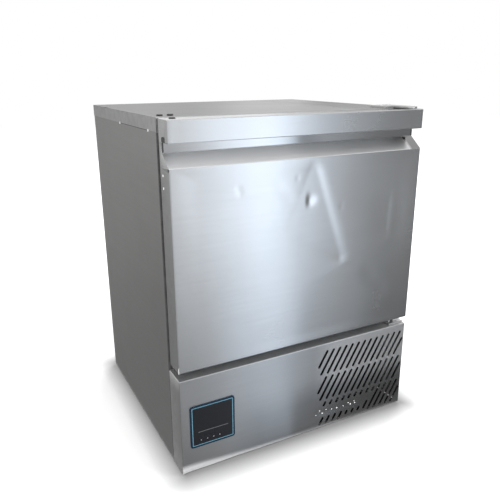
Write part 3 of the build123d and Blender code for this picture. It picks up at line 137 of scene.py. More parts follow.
def vector_sum(operation, first, second=(0.0, 0.0, 0.0)):
    node = put(tree_of(first), "ShaderNodeVectorMath", {0: first, 1: second}, operation=operation)
    return node.outputs["Value" if operation in ("LENGTH", "DOT_PRODUCT") else "Vector"]


def scaled(vector, factor):
    feeds = {0: vector, "Scale": factor}
    return put(tree_of(vector), "ShaderNodeVectorMath", feeds, operation="SCALE").outputs[0]


def reach_of(u, v):
    """Length of a flat vector."""
    return vector_sum("LENGTH", put(tree_of(u, v), "ShaderNodeCombineXYZ", {0: u, 1: v}).outputs[0])


def axes(place):
    """A place's three coordinates."""
    return put(tree_of(place), "ShaderNodeSeparateXYZ", {0: place}).outputs


def spread(value, low, high, start=0.0, end=1.0):
    """Maps a value's range to another, held at both ends."""
    feeds = {"Value": value, "From Min": low, "From Max": high, "To Min": start, "To Max": end}
    return put(tree_of(value), "ShaderNodeMapRange", feeds).outputs["Result"]


def blended(share, first, second):
    """One colour mixed into another."""
    feeds = {"Factor": share, 6: first, 7: second}
    return put(tree_of(share), "ShaderNodeMix", feeds, data_type="RGBA").outputs[2]


def mottle(place, scale, detail=2.0, rough=0.5):
    """Cloudy noise."""
    feeds = {"Vector": place, "Scale": scale, "Detail": detail, "Roughness": rough}
    return put(tree_of(place), "ShaderNodeTexNoise", feeds).outputs["Fac"]


def tree_with(kind, name, inputs, outputs):
    """A node group with named sockets; returns it with what it is given and what it gives out."""
    tree = bpy.data.node_groups.new(name, kind)
    for label, socket, value in inputs:
        made = tree.interface.new_socket(label, in_out="INPUT", socket_type="NodeSocket" + socket)
        if value is not None:
            made.default_value = value
    for label, socket in outputs:
        tree.interface.new_socket(label, in_out="OUTPUT", socket_type="NodeSocket" + socket)
    return tree, tree.nodes.new("NodeGroupInput").outputs, tree.nodes.new("NodeGroupOutput").inputs


# Effects that several materials share


def effect_group(name, numbers, outputs, build):
    """A shader group that takes a place and some numbers; build gives a socket for each output."""
    inputs = [("Vector", "Vector", None)] + [(label, "Float", value) for label, value in numbers.items()]
    tree, given, out = tree_with("ShaderNodeTree", name, inputs, [(label, "Float") for label in outputs])
    for label, socket in zip(outputs, build(tree, given, given["Vector"])):
        tree.links.new(socket, out[label])
    return tree


def brushed_grain(tree, given, place):
    """Fine parallel scratches along the first axis of the given place."""
    across = given["Across"]
    stretch = put(tree, "ShaderNodeCombineXYZ", {0: given["Along"], 1: across, 2: across}).outputs[0]
    fine = mottle(vector_sum("MULTIPLY", place, stretch), 1.0, 3.0, 0.6)
    broad = mottle(vector_sum("MULTIPLY", place, vector_sum("MULTIPLY", stretch, (0.25, 0.09, 0.09))), 1.0)
    return times(fine, 0.65, times(broad, 0.35)), fine


def handling_marks(tree, given, place):
    """Smears and dulled patches left by hands and cloths."""
    warp = put(tree, "ShaderNodeTexNoise", {"Vector": place, "Scale": given["Scale"], "Detail": 1.0})
    bend = put(tree, "ShaderNodeVectorMath", {0: warp.outputs["Color"], 1: (0.08, 0.08, 0.08), 2: place},
               operation="MULTIPLY_ADD").outputs[0]
    low = less(0.78, times(given["Cover"], 0.5))
    mask = spread(mottle(bend, given["Scale"]), low, sums("ADD", low, 0.22))
    tall = vector_sum("MULTIPLY", bend, (9.0, 0.7, 9.0))
    return mask, spread(mottle(tall, 1.0, 3.0, 0.55), 0.35, 0.75)


def edge_wear(tree, given, place):
    """Edges worn bright, down to the metal beneath."""
    point = put(tree, "ShaderNodeNewGeometry").outputs["Pointiness"]
    edge = spread(point, given["Onset"], sums("ADD", given["Onset"], 0.06))
    return (times(edge, spread(mottle(place, given["Scale"], 3.0), 0.3, 0.6, 0.35, 1.0)),)


def settled_dust(tree, given, place):
    """Dust on what faces up."""
    normal = put(tree, "ShaderNodeNewGeometry").outputs["Normal"]
    upward = spread(vector_sum("DOT_PRODUCT", normal, (0.0, 0.0, 1.0)), 0.35, 0.95)
    cover = spread(mottle(place, given["Scale"], 5.0, 0.65), 0.3, 0.7, 0.25, 1.0)
    return (times(times(upward, cover), given["Amount"]),)


GRAIN = effect_group("Brushed Grain", {"Along": 14.0, "Across": 1400.0}, ("Tone", "Height"), brushed_grain)
MARKS = effect_group("Handling Marks", {"Scale": 6.0, "Cover": 0.5}, ("Mask", "Streak"), handling_marks)
WEAR = effect_group("Edge Wear", {"Onset": 0.53, "Scale": 60.0}, ("Mask",), edge_wear)
DUST = effect_group("Settled Dust", {"Scale": 25.0, "Amount": 0.5}, ("Mask",), settled_dust)


# Materials


def named_input(node, label):
    """A node's input by its name in plain letters."""
    return next(item for item in node.inputs if item.name.lower() == label.replace("_", " ").lower())


def effect(group, place, **values):
    """An effect group placed in a material, with its own values."""
    node = put(tree_of(place), "ShaderNodeGroup", {"Vector": place}, node_tree=group)
    for name, value in values.items():
        named_input(node, name).default_value = value
    return node.outputs


def material(name, **sockets):
    """A material with its shader and its place on the object; numbers go on the shader's own sockets."""
    made = bpy.data.materials.new(name)
    made.use_nodes = True
    shader = made.node_tree.nodes["Principled BSDF"]
    for label, value in sockets.items():
        named_input(shader, label).default_value = value
    return made, shader, put(made.node_tree, "ShaderNodeTexCoord").outputs["Object"]


def feed(shader, **sockets):
    for label, value in sockets.items():
        shader.id_data.links.new(value, named_input(shader, label))


def surfaced(made, shader, height, strength, depth, **sockets):
    """Feeds a material's shader and gives it a fine relief."""
    bump = put(shader.id_data, "ShaderNodeBump", {"Height": height, "Strength": strength, "Distance": depth})
    feed(shader, Normal=bump.outputs["Normal"], **sockets)
    return made


def grey(level, warm=0.0):
    return (level * (1.0 + warm), level, level * (1.0 - warm), 1.0)


def tinted(colour, share, lift=0.0):
    """A colour made darker or lighter."""
    return tuple(min(1.0, share * channel + lift) for channel in colour[:3]) + (1.0,)


def stainless(name, tone, warm=0.0, roughness=0.30, marks=0.5, contrast=0.08, depth=0.10):
    """Brushed stainless sheet; the grain follows the piece's own map, and an attribute paints the sheet near
    white, for wear and as painted highlight, and dark as painted shade.
    """
    made, shader, place = material(name, Metallic=1.0, Anisotropic=0.62, Anisotropic_Rotation=0.25)
    tree = shader.id_data
    grain = effect(GRAIN, put(tree, "ShaderNodeUVMap", uv_map="grain").outputs["UV"])
    mark = effect(MARKS, place, Cover=marks)
    # Attribute share: up to 1 paints the steel near white, for wear and as painted highlight; down to -1
    # paints it dark as painted shade.
    wear_and_light_share = put(tree, "ShaderNodeAttribute", attribute_name="wear_and_painted_light").outputs["Fac"]
    steel = blended(spread(grain["Tone"], 0.3, 0.7), grey(tone * (1.0 - contrast), warm),
                    grey(tone * (1.0 + 0.8 * contrast), warm))
    for share, other in ((times(mark["Mask"], 0.18), grey(tone * 0.82, warm + 0.01)),
                         (times(mark["Streak"], 0.10), grey(tone * 0.70, warm)),
                         (times(effect(WEAR, place)["Mask"], 0.3), grey(0.93)),
                         (wear_and_light_share, grey(0.95)), (times(wear_and_light_share, -1.0), grey(tone * 0.25))):
        steel = blended(share, steel, other)
    rough = times(grain["Tone"], 0.6 * contrast, roughness - 0.3 * contrast)
    rough = times(wear_and_light_share, 0.3, times(mark["Mask"], 0.03, rough))
    tangent = put(tree, "ShaderNodeTangent", direction_type="UV_MAP", uv_map="grain").outputs[0]
    return surfaced(made, shader, grain["Height"], depth, 0.0001, Base_Color=steel, Roughness=rough,
                    Metallic=spread(wear_and_light_share, 0.0, 1.0, 1.0, 0.55), Tangent=tangent)


def galvanised(name, tone):
    """Zinc coated sheet with its spangle."""
    made, shader, place = material(name, Metallic=0.85)
    flakes = put(tree_of(place), "ShaderNodeTexVoronoi", {"Vector": place, "Scale": 85.0, "Randomness": 1.0})
    channels = put(tree_of(place), "ShaderNodeSeparateColor", {0: flakes.outputs["Color"]}).outputs
    shade = sums("FRACT", times(channels[0], 7.3))
    zinc = blended(shade, grey(tone * 0.85, -0.01), grey(tone * 1.12, -0.01))
    marks = effect(MARKS, place, Scale=4.0, Cover=0.6)["Mask"]
    zinc = blended(times(marks, 0.4), zinc, grey(tone * 0.72, 0.02))
    zinc = blended(effect(DUST, place, Amount=0.5)["Mask"], zinc, (0.40, 0.37, 0.33, 1.0))
    return surfaced(made, shader, shade, 0.15, 0.0002, Base_Color=zinc, Roughness=times(shade, 0.18, 0.36))


def plated(name, colour, roughness, marks=0.3):
    """Bright or passivated metal on small hardware."""
    made, shader, place = material(name, Metallic=1.0)
    mark = effect(MARKS, place, Scale=45.0, Cover=marks)["Mask"]
    tone = blended(effect(WEAR, place, Scale=220.0)["Mask"], blended(mark, colour, tinted(colour, 0.7)),
                   tinted(colour, 1.25))
    return surfaced(made, shader, mottle(place, 900.0, 3.0), 0.08, 0.0001, Base_Color=tone,
                    Roughness=times(mark, 0.18, roughness))


def plastic(name, colour, roughness, moulding=1500.0, depth=0.15, dust_amount=0.25, coat=0.0):
    """Moulded plastic with a fine skin texture."""
    made, shader, place = material(name, Coat_Weight=coat, Coat_Roughness=0.08)
    mark = effect(MARKS, place, Scale=30.0, Cover=0.4)["Mask"]
    worn = effect(WEAR, place, Scale=150.0)["Mask"]
    dust = effect(DUST, place, Scale=60.0, Amount=dust_amount)["Mask"]
    lighter = tinted(colour, 0.75, 0.08)
    tone = blended(times(worn, 0.4), blended(times(mark, 0.3), colour, lighter), lighter)
    tone = blended(dust, tone, (0.36, 0.34, 0.31, 1.0))
    return surfaced(made, shader, mottle(place, moulding), depth, 0.0001, Base_Color=tone,
                    Roughness=times(mark, 0.12, roughness))


def rubber(name, level):
    made, shader, place = material(name, Specular_Ior_Level=0.35)
    dust = effect(DUST, place, Scale=80.0, Amount=0.35)["Mask"]
    bloom = mottle(place, 35.0, 4.0, 0.6)
    tone = blended(spread(bloom, 0.4, 0.75), grey(level), grey(level * 1.6 + 0.01))
    return surfaced(made, shader, mottle(place, 1200.0, 3.0), 0.2, 0.0002,
                    Base_Color=blended(dust, tone, grey(0.3, 0.03)),
                    Roughness=spread(bloom, 0.3, 0.7, 0.55, 0.75))


def dulling_metal(name, metallic, clean, dull, patches, onset, roughness, grit):
    """Bare metal with cloudy tarnish or lint; roughness runs from the clean metal's to the dull one's."""
    made, shader, place = material(name, Metallic=metallic)
    cover = spread(mottle(place, *patches), *onset)
    return surfaced(made, shader, mottle(place, *grit[:2]), grit[2], 0.0002,
                    Base_Color=blended(cover, clean, dull), Roughness=spread(cover, 0.0, 1.0, *roughness))


def foam():
    made, shader, place = material("polyurethane_foam", Roughness=0.9)
    cells = put(tree_of(place), "ShaderNodeTexVoronoi", {"Vector": place, "Scale": 900.0}).outputs["Distance"]
    tone = blended(mottle(place, 30.0, 4.0), (0.80, 0.70, 0.45, 1.0), (0.90, 0.83, 0.60, 1.0))
    return surfaced(made, shader, cells, 0.5, 0.0006, Base_Color=tone)


def fascia_print():
    """Glossy black membrane with a dark blue rim, a pale blue rounded line inside it, and a thin rule."""
    made, shader, place = material("controller_membrane", Specular_Ior_Level=0.28)
    low, high = corners("controller_fascia")
    spot = axes(place)
    corner = 6.0 * MM
    past = [less(off(spot[axis], (low + high)[axis] * 0.5 * MM), (high - low)[axis] * 0.5 * MM - corner)
            for axis in (0, 2)]
    inside = sums("MINIMUM", sums("MAXIMUM", *past), 0.0)
    outside = reach_of(*(sums("MAXIMUM", value, 0.0) for value in past))
    edge = less(sums("ADD", outside, inside), corner)     # distance past the fascia's rounded outline
    line = spread(sums("ABSOLUTE", sums("ADD", edge, 5.1 * MM)), 0.7 * MM, 1.1 * MM, 1.0, 0.0)
    rule = times(spread(off(spot[0], (low.x + 54.5) * MM), 36.0 * MM, 36.6 * MM, 1.0, 0.0),
                 spread(off(spot[2], (low.z + 37.4) * MM), 0.5 * MM, 0.9 * MM, 1.0, 0.0))
    tone = blended(spread(edge, -4.6 * MM, -4.2 * MM), (0.012, 0.013, 0.016, 1.0), (0.006, 0.020, 0.040, 1.0))
    tone = blended(line, tone, (0.115, 0.25, 0.33, 1.0))
    mark = effect(MARKS, place, Scale=26.0, Cover=0.45)["Mask"]
    return surfaced(made, shader, mottle(place, 500.0), 0.03, 0.0001,
                    Base_Color=blended(rule, tone, grey(0.13)), Roughness=times(mark, 0.16, 0.12))


def key_face():
    """Black key with a small pale dot printed on it; one dot lies at each key's middle."""
    pitch = 15.0
    made, shader, place = material("key_face", Specular_Ior_Level=0.3)
    middle = sum(corners("key_1"), Vector()) / 2
    spot = axes(place)
    shifted = less(spot[0], (middle.x - pitch / 2) * MM)
    across = less(sums("MODULO", shifted, pitch * MM), pitch / 2 * MM)
    dot = spread(reach_of(across, less(spot[2], middle.z * MM)), 0.9 * MM, 1.5 * MM, 1.0, 0.0)
    worn = mottle(place, 400.0, 3.0)
    tone = blended(times(dot, spread(worn, 0.3, 0.6, 0.5, 1.0)), (0.014, 0.015, 0.019, 1.0), grey(0.42))
    return surfaced(made, shader, worn, 0.04, 0.0001, Base_Color=tone,
                    Roughness=spread(worn, 0.3, 0.7, 0.16, 0.28))


# Copies of one stainless: the top, side and lower panel copies are darker than the door's, as painted shade.
STEEL_DOOR = stainless("stainless_door", 0.62, warm=-0.006, roughness=0.26, contrast=0.035, depth=0.025)
STEEL_TOP = stainless("stainless_worktop", 0.50, marks=0.75)
STEEL_SIDE = stainless("stainless_side", 0.46, warm=0.012, roughness=0.33)
STEEL_PANEL = stainless("stainless_lower_panel", 0.52, roughness=0.36, contrast=0.05, depth=0.05)
STEEL_LINER = stainless("stainless_liner", 0.60, roughness=0.34, marks=0.35)
ZINC_SHEET = galvanised("galvanised_sheet", 0.55)
# Galvanised sheet painted near black for the machine bay: painted shade.
SHADED_SHEET = galvanised("galvanised_painted_shade", 0.10)
ZINC_PLATE = plated("zinc_plate", grey(0.72, 0.01), 0.34, 0.5)
BRIGHT = plated("bright_screw", grey(0.90), 0.24, 0.2)
MATT_SHEET = plated("matt_sheet", grey(0.58), 0.36, 0.15)
CHROME = plated("chrome_wire", grey(0.78, -0.005), 0.12, 0.2)
FOAM = foam()
SEAL = rubber("door_seal", 0.055)
GROMMET = rubber("grommet_rubber", 0.035)
BLACK = plastic("black_plastic", grey(0.022), 0.38)
WHITE = plastic("white_plastic", grey(0.78, 0.008), 0.40)
FINS = dulling_metal("aluminium_fins", 0.9, grey(0.62), (0.34, 0.35, 0.30, 1.0), (18.0, 5.0, 0.65),
                     (0.42, 0.72), (0.38, 0.75), (700.0, 2.0, 0.2))
MOTOR = plated("motor_steel", grey(0.34), 0.42, 0.6)
COMPRESSOR_BLACK = plastic("compressor_black", grey(0.018), 0.25, 300.0, 0.1, 0.7, coat=0.4)
COPPER = dulling_metal("copper_tube", 1.0, (0.80, 0.42, 0.27, 1.0), (0.42, 0.20, 0.11, 1.0), (22.0, 5.0, 0.6),
                       (0.35, 0.7), (0.22, 0.48), (400.0, 3.0, 0.1))
MEMBRANE = fascia_print()
KEY_FACE = key_face()
CONDENSER_PAINT = plastic("condenser_paint", grey(0.016), 0.50, 500.0, 0.2, 0.6)
# Near white and not metallic: painted glints on the welds, rivets, burrs and the curled corner.
GLINT_SPOT = plastic("white_painted_glint", grey(0.93), 0.30, 800.0, 0.1, 0.05, coat=0.3)

SLOT_FINISH = {"stainless": STEEL_LINER, "galvanised": ZINC_SHEET, "zinc_plate": ZINC_PLATE,
               "bright_screw": BRIGHT, "chrome_wire": CHROME, "insulation": FOAM, "seal": SEAL,
               "grommet_rubber": GROMMET, "black_plastic": BLACK, "white_plastic": WHITE,
               "fascia_gloss": MEMBRANE, "key_gloss": KEY_FACE, "window_gloss": MEMBRANE, "fins": FINS,
               "motor_steel": MOTOR, "compressor_black": COMPRESSOR_BLACK, "copper": COPPER}
# The bay's shroud, fan bracket and ceiling get the sheet painted near black as shade.
OWN_FINISH = {"condenser_shroud": SHADED_SHEET, "condenser_fan_bracket": SHADED_SHEET, "bay_ceiling": SHADED_SHEET,
              "cabin_liner": STEEL_LINER, "shelf_slides": STEEL_LINER}
ROUND_NODES = ("refrigerant_pipes", "compressor", "filter_drier")


# Mesh tools


def outline_point(axis, u, v, along):
    """A point of an outline that is drawn out along an axis."""
    return {"x": (along, u, v), "y": (u, along, v), "z": (u, v, along)}[axis]


def band(bm, first, second, closed=False):
    """Faces between two rows of points."""
    pairs = [(n, n + 1) for n in range(len(first) - 1)] + ([(len(first) - 1, 0)] if closed else [])
    return [bm.faces.new((first[n], first[m], second[m], second[n])) for n, m in pairs]


def prism(bm, outline, axis, low, high):
    """A closed solid between two copies of an outline."""
    rings = [[bm.verts.new(outline_point(axis, u, v, along)) for u, v in outline] for along in (low, high)]
    faces = [bm.faces.new(rings[0]), bm.faces.new(rings[1])] + band(bm, *rings, closed=True)
    bmesh.ops.recalc_face_normals(bm, faces=faces)


def blocks(*corner_pairs):
    """A mesh of closed blocks, each between two corners."""
    bm = bmesh.new()
    for low, high in corner_pairs:
        outline = [(low[0], low[1]), (high[0], low[1]), (high[0], high[1]), (low[0], high[1])]
        prism(bm, outline, "z", low[2], high[2])
    return bm


def strip(bm, path, axis, low, high):
    """An open sheet surface: a path drawn out along an axis."""
    band(bm, *([bm.verts.new(outline_point(axis, u, v, along)) for u, v in path] for along in (low, high)))


def patch(bm, points):
    """One flat face through given points."""
    return bm.faces.new([bm.verts.new(point) for point in points])


def wall(bm, axis, at, first, last):
    """A flat rectangle across an axis, between two corners."""
    (u0, v0), (u1, v1) = first, last
    patch(bm, [outline_point(axis, u, v, at) for u, v in ((u0, v0), (u1, v0), (u1, v1), (u0, v1))])


def returned(bm, x, y, far_x, far_y):
    """Folds a flange back from a sheet's upright edge; gives the edge's points and the flange's far ones."""
    edge = sorted((vert for vert in bm.verts if abs(vert.co.x - x) < 0.01 and abs(vert.co.y - y) < 0.01),
                  key=lambda vert: vert.co.z)
    far = [bm.verts.new((far_x, far_y, vert.co.z)) for vert in edge]
    band(bm, edge, far)
    return edge, far


def arc(cx, cy, radius, start, end, steps):
    """Points on an arc, with its angles in degrees."""
    turns = [radians(start + (end - start) * n / steps) for n in range(steps + 1)]
    return [(cx + radius * cos(turn), cy + radius * sin(turn)) for turn in turns]


def rounded_outline(x0, x1, y0, y1, radius, steps=5):
    centres = ((x1 - radius, y0 + radius), (x1 - radius, y1 - radius), (x0 + radius, y1 - radius),
               (x0 + radius, y0 + radius))
    return [point for n, (cx, cy) in enumerate(centres)
            for point in arc(cx, cy, radius, 90 * n - 90, 90 * n, steps)]


def lathe(bm, profile, centre, axis, steps=32):
    """A closed turned solid: profile gives (radius, distance along the axis) from pole to pole."""
    rings = []
    for radius, along in profile:
        turns = [2 * pi * n / steps for n in range(steps if radius else 1)]
        places = [outline_point(axis, radius * cos(turn), radius * sin(turn), along) for turn in turns]
        rings.append([bm.verts.new([c + d for c, d in zip(centre, place)]) for place in places])
    faces = []
    for low, high in zip(rings, rings[1:]):
        for n in range(steps):
            m = (n + 1) % steps
            loop = [low[n % len(low)], low[m % len(low)], high[m % len(high)], high[n % len(high)]]
            faces.append(bm.faces.new([vert for k, vert in enumerate(loop) if vert not in loop[:k]]))
    bmesh.ops.recalc_face_normals(bm, faces=faces)


def nest(bm, rings, closed=False):
    """Walls between outlines of equal count; the ends are capped, or joined to each other when closed."""
    loops = [[bm.verts.new(point) for point in ring] for ring in rings]
    faces = [] if closed else [bm.faces.new(loops[0]), bm.faces.new(loops[-1])]
    for low, high in zip(loops, loops[1:] + (loops[:1] if closed else [])):
        faces += band(bm, low, high, closed=True)
    bmesh.ops.recalc_face_normals(bm, faces=faces)


def cut_grid(bm, axis, cuts):
    """Splits every edge that runs along an axis into equal lengths."""
    number = "xyz".index(axis)
    edges = [edge for edge in bm.edges
             if abs((edge.verts[0].co - edge.verts[1].co)[number]) > 0.9 * edge.calc_length()]
    bmesh.ops.subdivide_edges(bm, edges=edges, cuts=cuts, use_grid_fill=True)


def weld(bm):
    bmesh.ops.remove_doubles(bm, verts=bm.verts, dist=0.01)


def object_from(name, bm, shown=True):
    """A new object in metres from a mesh drawn in millimetres; a hidden one is only copied or cut with."""
    bmesh.ops.scale(bm, vec=(MM, MM, MM), verts=bm.verts)
    mesh = bpy.data.meshes.new(name)
    bm.to_mesh(mesh)
    bm.free()
    made = bpy.data.objects.new(name, mesh)
    if shown:
        bpy.context.collection.objects.link(made)
    return made


def tool(name, bm):
    return object_from(name, bm, shown=False)


def worked_in(piece):
    """Works the piece's modifiers into its mesh."""
    bpy.context.view_layer.update()
    evaluated = piece.evaluated_get(bpy.context.evaluated_depsgraph_get())
    mesh = bpy.data.meshes.new_from_object(evaluated)
    piece.modifiers.clear()
    piece.data = mesh
    return piece


def modified(piece, kind, **settings):
    """Gives a piece a modifier with its settings."""
    modifier = piece.modifiers.new(kind.lower(), kind)
    for name, value in settings.items():
        setattr(modifier, name, value)
    return piece


def bevelled(piece, width, segments=2, angle=30.0):
    """Rounds the piece's edges; width in millimetres."""
    return modified(piece, "BEVEL", width=width * MM, segments=segments, limit_method="ANGLE",
                    angle_limit=radians(angle), miter_outer="MITER_ARC")


def thickened(piece, thickness):
    """Gives an open surface its sheet thickness, inwards."""
    return modified(piece, "SOLIDIFY", thickness=thickness * MM, offset=-1.0, use_even_offset=True)


def smooth(piece, angle=35.0):
    piece.data.shade_smooth()
    piece.data.set_sharp_from_angle(angle=radians(angle))
    return piece


def even_shading(piece):
    """Keeps flat faces flat beside their rounded edges."""
    return worked_in(modified(smooth(piece, 40.0), "WEIGHTED_NORMAL", keep_sharp=True, weight=60))


def grain_map(piece):
    """The map that the brushed grain follows: the first axis runs along the grain, in metres."""
    mesh = piece.data
    sizes = ((mesh.polygons, "normal", 3, float), (mesh.polygons, "loop_total", 1, np.int32),
             (mesh.vertices, "co", 3, float), (mesh.loops, "vertex_index", 1, np.int32))
    found = []
    for group, name, width, kind in sizes:
        found.append(np.empty(len(group) * width, dtype=kind))
        group.foreach_get(name, found[-1])
    normals, lengths, places, indices = found
    facing = np.repeat(np.abs(normals.reshape(-1, 3)).argmax(axis=1), lengths)
    x, y, z = places.reshape(-1, 3)[indices].T
    along, across = np.choose(facing, (y, x, x)), np.choose(facing, (z, z, y))
    layer = mesh.uv_layers.get("grain") or mesh.uv_layers.new(name="grain")
    layer.data.foreach_set("uv", np.stack((along, across), axis=1).ravel())
    mesh.uv_layers.active = layer


def paint_wear_and_light(piece, share):
    """Paints a sheet bright, up to 1, for wear and as painted highlight, or dark, down to -1, as painted
    shade; share takes a place in millimetres.
    """
    layer = piece.data.attributes.new("wear_and_painted_light", "FLOAT", "POINT")
    layer.data.foreach_set("value", [share(*(vert.co / MM)) for vert in piece.data.vertices])


def held(value):
    return max(0.0, min(1.0, value))


def fading(share, ends):
    """1 along the middle of a way, falling to 0 over its two ends."""
    return held(min(share / ends, (1.0 - share) / ends))


def bell(value, width):
    return 2.718 ** (-(value / width) ** 2)


def wave(place, scale, depth, seed):
    """Slow unevenness of rolled sheet, from 0 to depth."""
    value = noise.noise(Vector((place[0] / scale + seed, place[1] / scale, place[2] / scale)))
    return depth * (0.5 + 0.5 * max(-1.0, min(1.0, 1.6 * value)))


SETTLED = set()


def settle(piece, finish, *nodes, beside=None):
    """Gives a finished piece its material, its grain, its body and the nodes that it stands for.

    A small extra piece stands for no node; it rides with the node that it lies beside.
    """
    piece.data.materials.clear()
    piece.data.materials.append(finish)
    grain_map(piece)
    nearest = beside or nodes[0]
    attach(piece, BODY_OF[nearest])
    if nodes:
        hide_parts(*nodes)
        SETTLED.update(nodes)
    return piece


def folded(name, bm, fold=FOLD, thickness=SHEET, segments=3):
    """A folded sheet: the surface's folds are rounded, then it gets its thickness."""
    weld(bm)
    bmesh.ops.recalc_face_normals(bm, faces=bm.faces)
    return worked_in(thickened(bevelled(object_from(name, bm), fold, segments, 15.0), thickness))


def sheet_piece(name, bm, finish, *nodes):
    return settle(even_shading(folded(name, bm)), finish, *nodes)


def solid_piece(name, bm, finish, *nodes, edge=0.4, segments=2, angle=35.0, beside=None):
    """A solid piece with softened edges."""
    piece = object_from(name, bm)
    if edge:
        worked_in(bevelled(piece, edge, segments, angle))
    return settle(even_shading(piece), finish, *nodes, beside=beside)


def merged_copy(node):
    """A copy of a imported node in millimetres, with its loose triangles merged into plain faces."""
    bm = bmesh.new()
    bm.from_mesh(frame["nodes"][node].data)
    bmesh.ops.scale(bm, vec=(1 / MM,) * 3, verts=bm.verts)
    bmesh.ops.remove_doubles(bm, verts=bm.verts, dist=0.002)
    bmesh.ops.dissolve_limit(bm, angle_limit=radians(0.6), verts=bm.verts, edges=bm.edges)
    return bm


def dressed(node, finish=None, edge=0.3, bm=None):
    """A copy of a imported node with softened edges, which stands for the node."""
    finish = finish or SLOT_FINISH[SLOT_OF[node]]
    return solid_piece(f"{node}_finish", bm or merged_copy(node), finish, node, edge=edge)


# Geometry trees


def shape_tree(name, inputs, build):
    """A geometry group that ends by giving its mesh the wanted material; build gives the mesh's socket."""
    inputs = [("Geometry", "Geometry", None)] + inputs + [("Material", "Material", None)]
    tree, given, out = tree_with("GeometryNodeTree", name, inputs, [("Geometry", "Geometry")])
    feeds = {"Geometry": build(tree, given), "Material": given["Material"]}
    tree.links.new(put(tree, "GeometryNodeSetMaterial", feeds).outputs[0], out["Geometry"])
    return tree


def realized(tree, socket):
    return put(tree, "GeometryNodeRealizeInstances", {0: socket}).outputs[0]


def placed(tree, points, instance, **feeds):
    """Copies of an instance on points."""
    feeds = {"Points": points, "Instance": instance, **feeds}
    return put(tree, "GeometryNodeInstanceOnPoints", feeds).outputs[0]


def copies(tree, given):
    """Copies of one object in rows."""
    rows = put(tree, "GeometryNodeMeshLine", {"Count": given["Rows"], "Start Location": given["Start"],
                                              "Offset": given["Row Pitch"]})
    row = put(tree, "GeometryNodeMeshLine", {"Count": given["Count"], "Offset": given["Pitch"]})
    points = realized(tree, placed(tree, rows.outputs[0], row.outputs[0]))
    copy = put(tree, "GeometryNodeObjectInfo", {"Object": given["Copy"]})
    return realized(tree, placed(tree, points, copy.outputs["Geometry"]))


def pierced_sheet(tree, given):
    """The given sheet, with copies of one object in rows cut out of it."""
    cut = put(tree, "GeometryNodeMeshBoolean", operation="DIFFERENCE", solver="EXACT")
    tree.links.new(given["Geometry"], cut.inputs[0])
    tree.links.new(copies(tree, given), cut.inputs[1])
    return realized(tree, cut.outputs[0])


def rod_along_lines(tree, given):
    """Round rods along every edge of a mesh of lines."""
    line = put(tree, "GeometryNodeMeshToCurve", {0: given["Geometry"]}).outputs[0]
    feeds = {"Resolution": given["Sides"], "Radius": given["Radius"]}
    section = put(tree, "GeometryNodeCurvePrimitiveCircle", feeds).outputs[0]
    feeds = {"Curve": line, "Profile Curve": section, "Fill Caps": True}
    return put(tree, "GeometryNodeCurveToMesh", feeds).outputs[0]


def ring_of_copies(tree, given):
    """Copies of one object turned about an axis through the origin."""
    stacked = {"Count": given["Count"], "Offset": (0.0, 0.0, 0.0)}
    points = put(tree, "GeometryNodeMeshLine", stacked).outputs[0]
    turn = times(put(tree, "GeometryNodeInputIndex").outputs[0], sums("DIVIDE", 2 * pi, given["Count"]))
    rotation = put(tree, "FunctionNodeEulerToRotation", {0: scaled(given["Axis"], turn)}).outputs[0]
    copy = put(tree, "GeometryNodeObjectInfo", {"Object": given["Copy"]}).outputs["Geometry"]
    return realized(tree, placed(tree, points, copy, Rotation=rotation))


ROW_INPUTS = [("Copy", "Object", None), ("Start", "Vector", (0, 0, 0)), ("Count", "Int", 1),
              ("Pitch", "Vector", (0, 0, 0)), ("Rows", "Int", 1), ("Row Pitch", "Vector", (0, 0, 0))]
ROW_OF_COPIES = shape_tree("Row Of Copies", ROW_INPUTS, copies)
PIERCED_SHEET = shape_tree("Pierced Sheet", ROW_INPUTS, pierced_sheet)
ROD_ALONG_LINES = shape_tree("Rod Along Lines", [("Radius", "Float", 0.002), ("Sides", "Int", 8)],
                             rod_along_lines)
RING_OF_COPIES = shape_tree("Ring Of Copies", [("Copy", "Object", None), ("Count", "Int", 5),
                                               ("Axis", "Vector", (0, 1, 0))], ring_of_copies)


def run_tree(piece, tree, **values):
    """Adds a tree to a piece, with each named input set by its socket's identifier."""
    modifier = piece.modifiers.new(tree.name, "NODES")
    modifier.node_group = tree
    keys = {item.name: item.identifier for item in tree.interface.items_tree if item.in_out == "INPUT"}
    for name, value in values.items():
        modifier[keys[name.replace("_", " ")]] = value
    return piece


def metres(x, y, z):
    return (x * MM, y * MM, z * MM)


def rods(name, lines, radius, finish, sides=8):
    """Rods along lines of points; a line that ends where it starts becomes a closed ring."""
    points, edges = [], []
    for line in lines:
        closed = (Vector(line[0]) - Vector(line[-1])).length < 0.01
        first = len(points)
        points += [metres(*point) for point in (line[:-1] if closed else line)]
        edges += [(n, n + 1) for n in range(first, len(points) - 1)]
        if closed:
            edges.append((len(points) - 1, first))
    mesh = bpy.data.meshes.new(name)
    mesh.from_pydata(points, edges, [])
    piece = bpy.data.objects.new(name, mesh)
    bpy.context.collection.objects.link(piece)
    run_tree(piece, ROD_ALONG_LINES, Radius=radius * MM, Sides=sides, Material=finish)
    return smooth(worked_in(piece), 50.0)


def joined(name, angle, *pieces):
    """One smoothed piece from several."""
    bm = bmesh.new()
    for piece in pieces:
        bm.from_mesh(piece.data)
        bpy.data.objects.remove(piece)
    bmesh.ops.scale(bm, vec=(1 / MM,) * 3, verts=bm.verts)
    return smooth(object_from(name, bm), angle)


# Camera and stage


CAMERA_PLACE = Vector((-0.65785, -1.27351, 0.85751))
CAMERA_TURN = radians(-27.672)
CAMERA_DIP = radians(17.584)
CAMERA_ROLL = radians(-0.265)
LENS = 40.11


